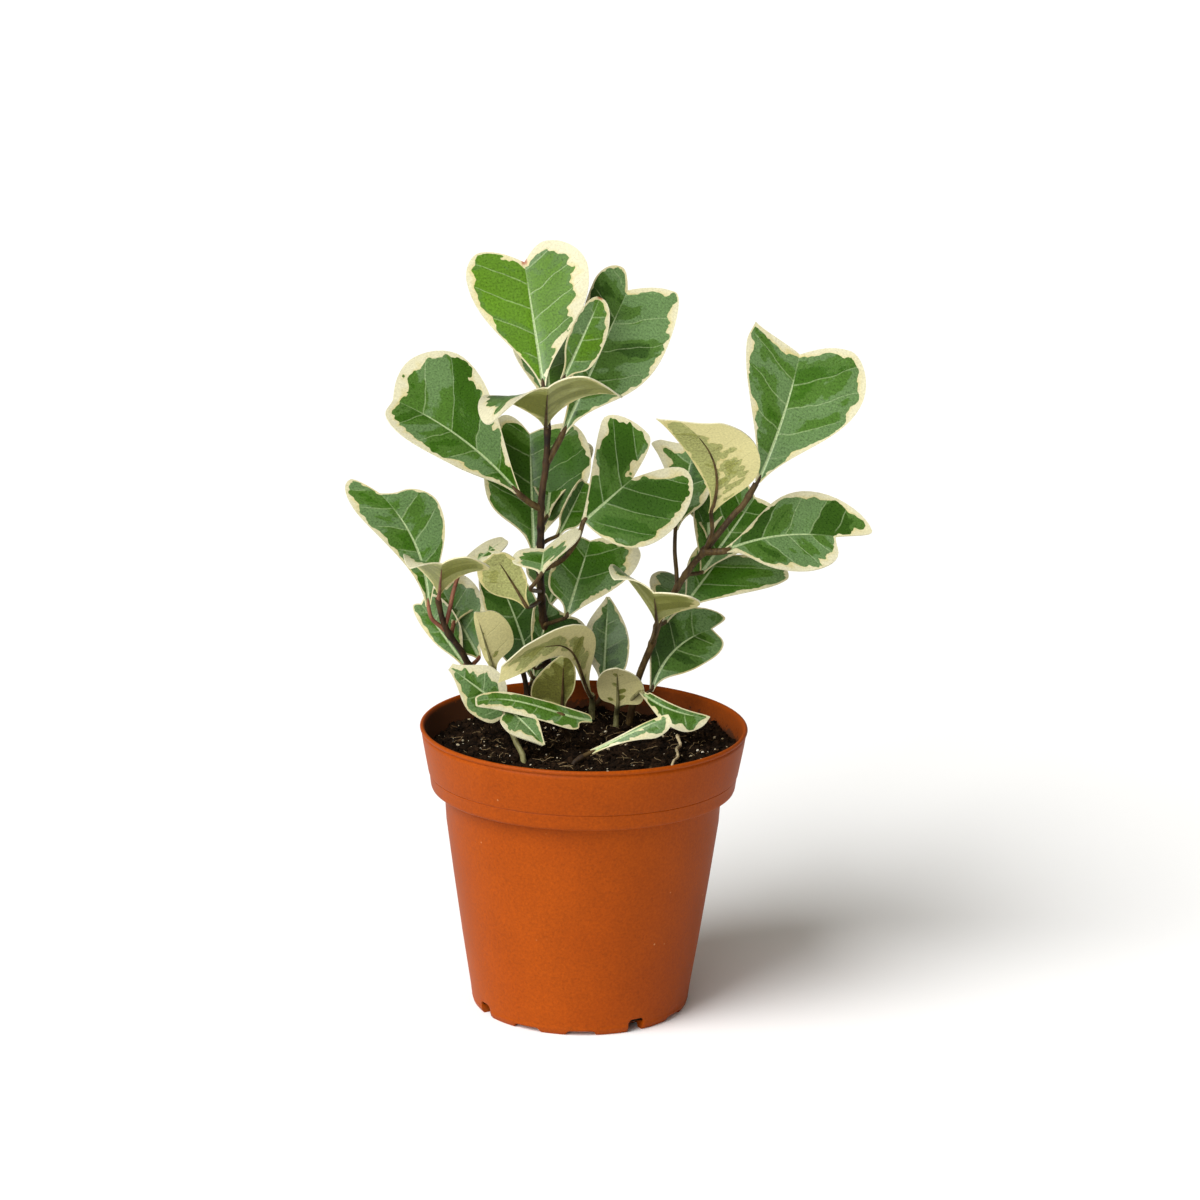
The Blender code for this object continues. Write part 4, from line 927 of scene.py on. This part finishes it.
backShoot = {
    "node": "shoot_back", "radius": (1.1, 0.8),
    "route": [(-17.6, 31, 64), (-18, 31, 88), (-18.8, 31.2, 94), (-20, 31.5, 99)],
    "leaves": [
        leaf((-20.2, 31.8, 100.5), (-24, 46, 114), (-100, 50), (8, 2, 0.8, 0.5), (9, 2, 0.8, 0.5),
             [(-19.8, 31.4, 98)], (1.4, 1.8), curl=20),
        leaf((-17, 33.5, 94), (-9, 47.5, 103), (-110, 55), (7, 1, 0.7, 0.5), (7, 1, 0.75, 0.5),
             [(-18.2, 31, 90.5)], (1.2, 1.0), curl=20),
    ],
}

for number, stem in enumerate((centreStem, leftStem, rightStem, middleShoot, uprightShoot, lowShoot,
                               leftShoot, rightShoot, frontShoot, backShoot)):
    makeStem(stem, number)


# Pot: a turned profile with gaps cut through its foot
pot = {
    "rimRadius": 51.0, "rimHeight": 90.3, "floorTop": 2.6, "floorUnder": 1.3,
    "grooveHeight": 75.5, "grooveDepth": 0.22, "steps": 144,
    "gaps": 12, "gapTurn": 1.0, "gap": {"width": 9.4, "height": 1.5, "inner": 27.5, "corner": 1.425},
    "drainEvery": 3, "drain": {"width": 5.4, "height": 4.3, "inner": 29.6, "corner": 1.4},
    "cutterOuter": 39.0, "cutterBelow": 2.0, "edge": 0.18, "sharp": 50, "weld": 0.01,
}


def arc(centre, radius, start, end, steps):
    angles = np.radians(np.linspace(start, end, steps + 1))
    return [(centre[0] + radius * math.cos(a), centre[1] + radius * math.sin(a)) for a in angles]


def potProfile():
    rim, top, groove = pot["rimRadius"], pot["rimHeight"], pot["grooveHeight"]
    # pairs of radius and height: up the inside, over the lip, down the outside and under the floor
    inner = [(0, pot["floorTop"]), (32.4, pot["floorTop"]), *arc((32.6, 3.8), 1.2, -90, -8, 5),
             (41.4, 62.5), (42.0, 70.6), (42.3, 71.4), (43.0, 71.8), (45.4, 72.2), (46.1, 72.8),
             (48.9, 88.2)]
    lip = arc((rim - 0.7, top - 0.65), 0.65, 160, -40, 10)
    band = [(50.35, 88.95), (50.15, 88.75), (50.25, 88.45), (50.45, 88.2), (50.35, 87.4), (50.0, 85.2),
            (49.15, 80.5), (48.3, groove + 0.5), (48.2, groove + 0.15), (48.1 - pot["grooveDepth"], groove),
            (48.05, groove - 0.2), (47.95, groove - 0.5), (47.6, 72.4), (47.45, 71.4), (47.25, 70.9),
            (46.85, 70.6), (46.2, 70.4), (44.2, 70.2), (43.6, 70.0), (43.3, 69.6), (43.2, 69)]
    body = [(42.6, 60), (40.2, 42.5), (37.3, 22.6), (34.6, 5.5), (34.35, 3.4),
            *arc((33.3, 2.2), 0.9, 20, -20, 4), (33.8, 0.7), *arc((33.0, 0.4), 0.4, 0, -90, 3)]
    foot = [*arc((31.0, 0.4), 0.4, -90, -180, 3), (30.4, pot["floorUnder"]), (0, pot["floorUnder"])]
    return [*inner, *lip, *band, *body, *foot]


def footCutter(index):
    cut = pot["drain" if index % pot["drainEvery"] == 1 else "gap"]
    outer, below = pot["cutterOuter"], pot["cutterBelow"]
    size = Vector((cut["width"], outer - cut["inner"], cut["height"] + below)) * mm
    shape = bmesh.new()
    bmesh.ops.create_cube(shape, size=1)
    bmesh.ops.scale(shape, vec=size, verts=shape.verts)
    # the two upper edges that run outwards
    corners = [edge for edge in shape.edges
               if all(corner.co.z > 0 for corner in edge.verts)
               and abs(edge.verts[0].co.x - edge.verts[1].co.x) < 1e-6]
    bmesh.ops.bevel(shape, geom=corners, offset=cut["corner"] * mm, segments=5, profile=0.5,
                    affect="EDGES")
    angle = math.radians(pot["gapTurn"] + index * 360 / pot["gaps"])
    middle = (outer + cut["inner"]) / 2 * mm
    place = Vector((middle * math.sin(angle), -middle * math.cos(angle), (cut["height"] - below) / 2 * mm))
    shape.transform(Matrix.Translation(place) @ Matrix.Rotation(angle, 4, "Z"))
    return addShape(f"footCutter{index}", shape)


def makePot():
    profile = potProfile()
    mesh = bpy.data.meshes.new("pot")
    edges = [(start, start + 1) for start in range(len(profile) - 1)]
    mesh.from_pydata([(radius * mm, 0, height * mm) for radius, height in profile], edges, [])
    item = addObject("pot", mesh)
    screw = item.modifiers.new("turn", "SCREW")
    screw.steps = screw.render_steps = pot["steps"]
    screw.use_merge_vertices = True
    screw.merge_threshold = pot["weld"] * mm
    cutters = [footCutter(index) for index in range(pot["gaps"])]
    for cutter in cutters:
        cut = item.modifiers.new("gap", "BOOLEAN")
        cut.operation = "DIFFERENCE"
        cut.object = cutter
    soften = item.modifiers.new("edges", "BEVEL")
    soften.width = pot["edge"] * mm
    soften.segments = 2
    soften.limit_method = "ANGLE"
    soften.angle_limit = math.radians(pot["sharp"])
    item = freeze(item)
    for cutter in cutters:
        bpy.data.objects.remove(cutter, do_unlink=True)
    item.name = "nurseryPot"
    item.data.materials.clear()
    item.data.materials.append(potPlastic)
    item.data.shade_smooth()
    item.data.set_sharp_from_angle(angle=math.radians(pot["sharp"]))
    finishPiece(item, "pot", "pot")
    print("pot made:", len(item.data.polygons), "faces")


makePot()


# Soil: an uneven bed that fills the pot, with crumbs, chips, fibres and perlite strewn on it
soil = {
    "level": 84.6, "fallBack": 0.05, "sag": 0.0006, "leftFall": 0.02, "bump": 0.7, "gap": 0.35,
    "edgeHeight": 79.0, "wallSpan": ([69.6, 88.2], [45.6, 48.9]), "rings": 90, "steps": 260,
    "octaves": [(0.16, 1.5), (0.42, 1.3), (0.95, 0.7)], "topFrom": 75.0,
    "walls": [(46.0, 73.2), (41.8, 71.6), (41.2, 62.5), (33.2, 2.95)],
    "litter": {
        "soilCrumbs": {"Density": 560000.0, "Smallest": 0.5 * mm, "Largest": 1.9 * mm, "Flatness": 0.8,
                       "Length": 1.2, "Knobs": 0.45, "Seed": 3, "Material": soils["soilCrumb"]},
        "soilClods": {"Density": 36000.0, "Smallest": 1.8 * mm, "Largest": 3.8 * mm, "Flatness": 0.75,
                      "Length": 1.15, "Knobs": 0.5, "Seed": 8, "Material": soils["soilCrumb"]},
        "woodChips": {"Density": 30000.0, "Smallest": 0.5 * mm, "Largest": 1.4 * mm, "Flatness": 0.5,
                      "Length": 3.0, "Knobs": 0.3, "Seed": 12, "Material": soils["woodChip"]},
        "perliteGrains": {"Density": 36000.0, "Smallest": 0.35 * mm, "Largest": 1.25 * mm, "Flatness": 0.85,
                          "Length": 1.3, "Knobs": 0.35, "Seed": 21, "Material": soils["perlite"]},
    },
    "fibres": {"Density": 26000.0, "Shortest": 1.2 * mm, "Longest": 7.0 * mm, "Radius": 0.1 * mm,
               "Waver": 2.4 * mm, "Reach": 40.5 * mm, "Seed": 5, "Material": soils["fibre"]},
    "root": {"route": [(29.5, 2, 86.2), (29, -6, 88.6), (29.9, -13, 87.8), (28.6, -20, 88.8),
                       (28.9, -26, 88), (27.4, -33, 88.6), (26.6, -36.5, 86.6)],
             "radius": (0.55, 0.4), "spacing": 0.5, "roughness": 0.25, "sides": 8},
}


def soilHeight(x, y):
    fall = soil["fallBack"] * y + soil["sag"] * max(y, 0) ** 2 - soil["leftFall"] * min(x, 0) * (y > 0)
    # two crossed waves, so that the bed isn't flat
    bumps = math.sin(x * 0.31 + 1.2) * math.cos(y * 0.27) + 0.6 * math.sin(x * 0.13 - y * 0.21)
    return soil["level"] - fall + soil["bump"] * bumps


def roughHeight(x, y):
    place = Vector((x, y, 0))
    return soilHeight(x, y) + sum(noise.noise(place * scale) * height for scale, height in soil["octaves"])


def makeSoilBed():
    shape = bmesh.new()
    steps, count = soil["steps"], soil["rings"]
    angles = [2 * math.pi * step / steps for step in range(steps)]

    def ring(radius, height):
        spots = [(radius * math.cos(angle), radius * math.sin(angle)) for angle in angles]
        return [shape.verts.new(Vector((x, y, height(x, y))) * mm) for x, y in spots]

    topRadius = np.interp(soil["edgeHeight"], *soil["wallSpan"]) - soil["gap"]
    rings = [ring(topRadius * number / count, roughHeight) for number in range(1, count + 1)]
    rings += [ring(radius - soil["gap"], lambda x, y: level) for radius, level in soil["walls"]]
    centre = shape.verts.new((0, 0, soilHeight(0, 0) * mm))
    under = shape.verts.new((0, 0, soil["walls"][-1][1] * mm))
    for step in range(steps):
        after = (step + 1) % steps
        shape.faces.new((centre, rings[0][step], rings[0][after]))
        shape.faces.new((under, rings[-1][after], rings[-1][step]))
        for upper, lower in zip(rings, rings[1:]):
            shape.faces.new((upper[step], lower[step], lower[after], upper[after]))
    bmesh.ops.recalc_face_normals(shape, faces=shape.faces)
    bed = addShape("soilBed", shape, (soils["soilBed"],))
    bed.data.shade_smooth()
    return bed


fullTurn = 6.283


def randomValue(low, high, seed, kind="FLOAT"):
    # a random number or vector for each point
    first, second, output = {"FLOAT": (2, 3, 1), "FLOAT_VECTOR": (0, 1, 0)}[kind]
    return node("FunctionNodeRandomValue", {first: low, second: high, "Seed": seed}, output, data_type=kind)


def strewOn(bed, density, reach, seed, shape, spin, scale):
    # copies of a shape on the top of the bed, out to the reach
    x = node("ShaderNodeSeparateXYZ", (node("GeometryNodeInputPosition"),))
    radius = combine(x, x.output("Y")).vector("LENGTH").output("Value")
    onTop = x.output("Z").math("GREATER_THAN", soil["topFrom"] * mm)
    chosen = onTop * (reach - radius).math("GREATER_THAN", 0.0)
    points = node("GeometryNodeDistributePointsOnFaces",
                  {"Mesh": bed, "Selection": chosen, "Density": density, "Seed": seed})
    turn = randomValue(*spin, seed + 1.0, "FLOAT_VECTOR")
    copies = node("GeometryNodeInstanceOnPoints",
                  {"Points": points, "Instance": shape, "Rotation": turn, "Scale": scale})
    return node("GeometryNodeRealizeInstances", {"Geometry": copies})


def jolt(shape, scale, detail, middle, strength):
    # moves every point by a noise
    noisy = noiseAt(node("GeometryNodeInputPosition"), scale, detail).output("Color")
    offset = noisy.vector("SUBTRACT", middle).scaled(strength)
    return node("GeometryNodeSetPosition", {"Geometry": shape, "Offset": offset})


def makeLitterTree():
    bed, density, smallest, largest, flatness, length, knobs, knobScale, reach, seed, material = beginTree(
        "GeometryNodeTree", "litter",
        {"Geometry": "Geometry", "Density": 100000.0, "Smallest": 0.5 * mm, "Largest": 2 * mm,
         "Flatness": 0.7, "Length": 1.2, "Knobs": 0.4, "Knob Scale": 900.0, "Reach": 47 * mm,
         "Seed": "Int", "Material": "Material"})
    grain = node("GeometryNodeMeshIcoSphere", {"Radius": 1.0, "Subdivisions": 1})
    size = randomValue(0.0, 1.0, seed)
    size = size * size * (largest - smallest) + smallest
    form = combine(size * 0.5 * length, size * 0.5, size * 0.5 * flatness)
    spin = ((-0.5, -0.5, 0.0), (0.5, 0.5, fullTurn))
    copies = strewOn(bed, density, reach, seed, grain, spin, form)
    return endShape(jolt(copies, knobScale, 1.0, (0.5, 0.5, 0.5), knobs * largest), material)


def makeFibreTree():
    bed, density, shortest, longest, radius, waver, waverScale, reach, seed, material = beginTree(
        "GeometryNodeTree", "fibres",
        {"Geometry": "Geometry", "Density": 20000.0, "Shortest": 3 * mm, "Longest": 10 * mm,
         "Radius": 0.1 * mm, "Waver": mm, "Waver Scale": 260.0, "Reach": 47 * mm, "Seed": "Int",
         "Material": "Material"})
    strand = node("GeometryNodeCurvePrimitiveLine", {"Start": (-0.5, 0, 0.0), "End": (0.5, 0, 0.04)})
    strand = node("GeometryNodeResampleCurve", {"Curve": strand, "Count": 9})
    length = randomValue(shortest, longest, seed)
    spin = ((0.0, -0.35, 0.0), (0.0, 0.35, fullTurn))
    copies = strewOn(bed, density, reach, seed, strand, spin, combine(length, length, length))
    copies = jolt(copies, waverScale, 2.0, (0.5, 0.5, 0.42), waver * 2.0)
    ring = node("GeometryNodeCurvePrimitiveCircle", {"Resolution": 4, "Radius": radius})
    return endShape(node("GeometryNodeCurveToMesh",
                         {"Curve": copies, "Profile Curve": ring, "Fill Caps": True}), material)


def strew(bed, name, tree, values):
    item = addObject(name, bed.data.copy())
    item.data.materials.clear()
    addNodes(item, tree, values)
    item = freeze(item)
    finishPiece(item, "soil")
    print(name, "strewn:", len(item.data.polygons), "faces")


def makeSoil():
    bed = makeSoilBed()
    litterTree, fibreTree = makeLitterTree(), makeFibreTree()
    for name, values in soil["litter"].items():
        strew(bed, name, litterTree, values)
    strew(bed, "soilFibres", fibreTree, soil["fibres"])
    root = soil["root"]
    line, places = evenly(smoothRoute(root["route"]), root["spacing"])
    radii = np.interp(places, [0, places[-1]], root["radius"])
    loose = makeTubes("looseRoot", [(line, radii)], root["roughness"], root["sides"], soils["paleRoot"])
    finishPiece(loose, "soil")
    finishPiece(bed, "soil", "soil")


makeSoil()


# Floor, lights and camera
studio = {
    "floorSize": 24.0, "floor": colour(252, 252, 252), "world": (1.0, 0.96, 0.86, 1.0),
    "worldStrength": 0.25,
    "lights": [{"name": "softSun", "power": 3.75, "turn": -48, "rise": 43, "softness": 42},
               {"name": "frontFill", "power": 1.1, "turn": -20, "rise": 14, "softness": 32}],
}
view = {"target": (4.4, 0, 130.2), "distance": 1202.7, "elevation": 14.55, "roll": 0.9, "lens": 117.0,
        "sensor": 36.0, "near": 0.05, "far": 60.0}


def makeStudio():
    floor = addObject("floor", bpy.data.meshes.new("floor"))
    half = studio["floorSize"] / 2
    corners = [(-half, -half, 0), (half, -half, 0), (half, half, 0), (-half, half, 0)]
    floor.data.from_pydata(corners, [], [(0, 1, 2, 3)])
    material, _ = newMaterial("paleFloor", Base_Color=studio["floor"], Roughness=0.9,
                              Specular_IOR_Level=0.1)
    floor.data.materials.append(material)
    world = bpy.data.worlds.new("studio")
    world.use_nodes = True
    bpy.context.scene.world = world
    background = world.node_tree.nodes["Background"]
    background.inputs["Color"].default_value = studio["world"]
    background.inputs["Strength"].default_value = studio["worldStrength"]
    for lamp in studio["lights"]:
        light = bpy.data.lights.new(lamp["name"], "SUN")
        light.energy, light.angle = lamp["power"], math.radians(lamp["softness"])
        item = addObject(lamp["name"], light)
        toLight = Vector(heading(lamp["turn"] - 90, lamp["rise"]))
        item.rotation_euler = toLight.to_track_quat("Z", "Y").to_euler()
    bpy.context.scene.view_settings.view_transform = "Standard"


def makeCamera():
    rise, roll = math.radians(view["elevation"]), math.radians(view["roll"])
    back = Vector((0, -math.cos(rise), math.sin(rise)))
    right = Vector((1, 0, 0))
    up = back.cross(right)
    side = right * math.cos(roll) + up * math.sin(roll)
    top = up * math.cos(roll) - right * math.sin(roll)
    data = bpy.data.cameras.new("camera")
    data.lens, data.sensor_width = view["lens"], view["sensor"]
    data.clip_start, data.clip_end = view["near"], view["far"]
    item = addObject("camera", data)
    place = (Vector(view["target"]) + back * view["distance"]) * mm
    item.matrix_world = Matrix.Translation(place) @ Matrix((side, top, back)).transposed().to_4x4()
    bpy.context.scene.camera = item


makeStudio()
makeCamera()
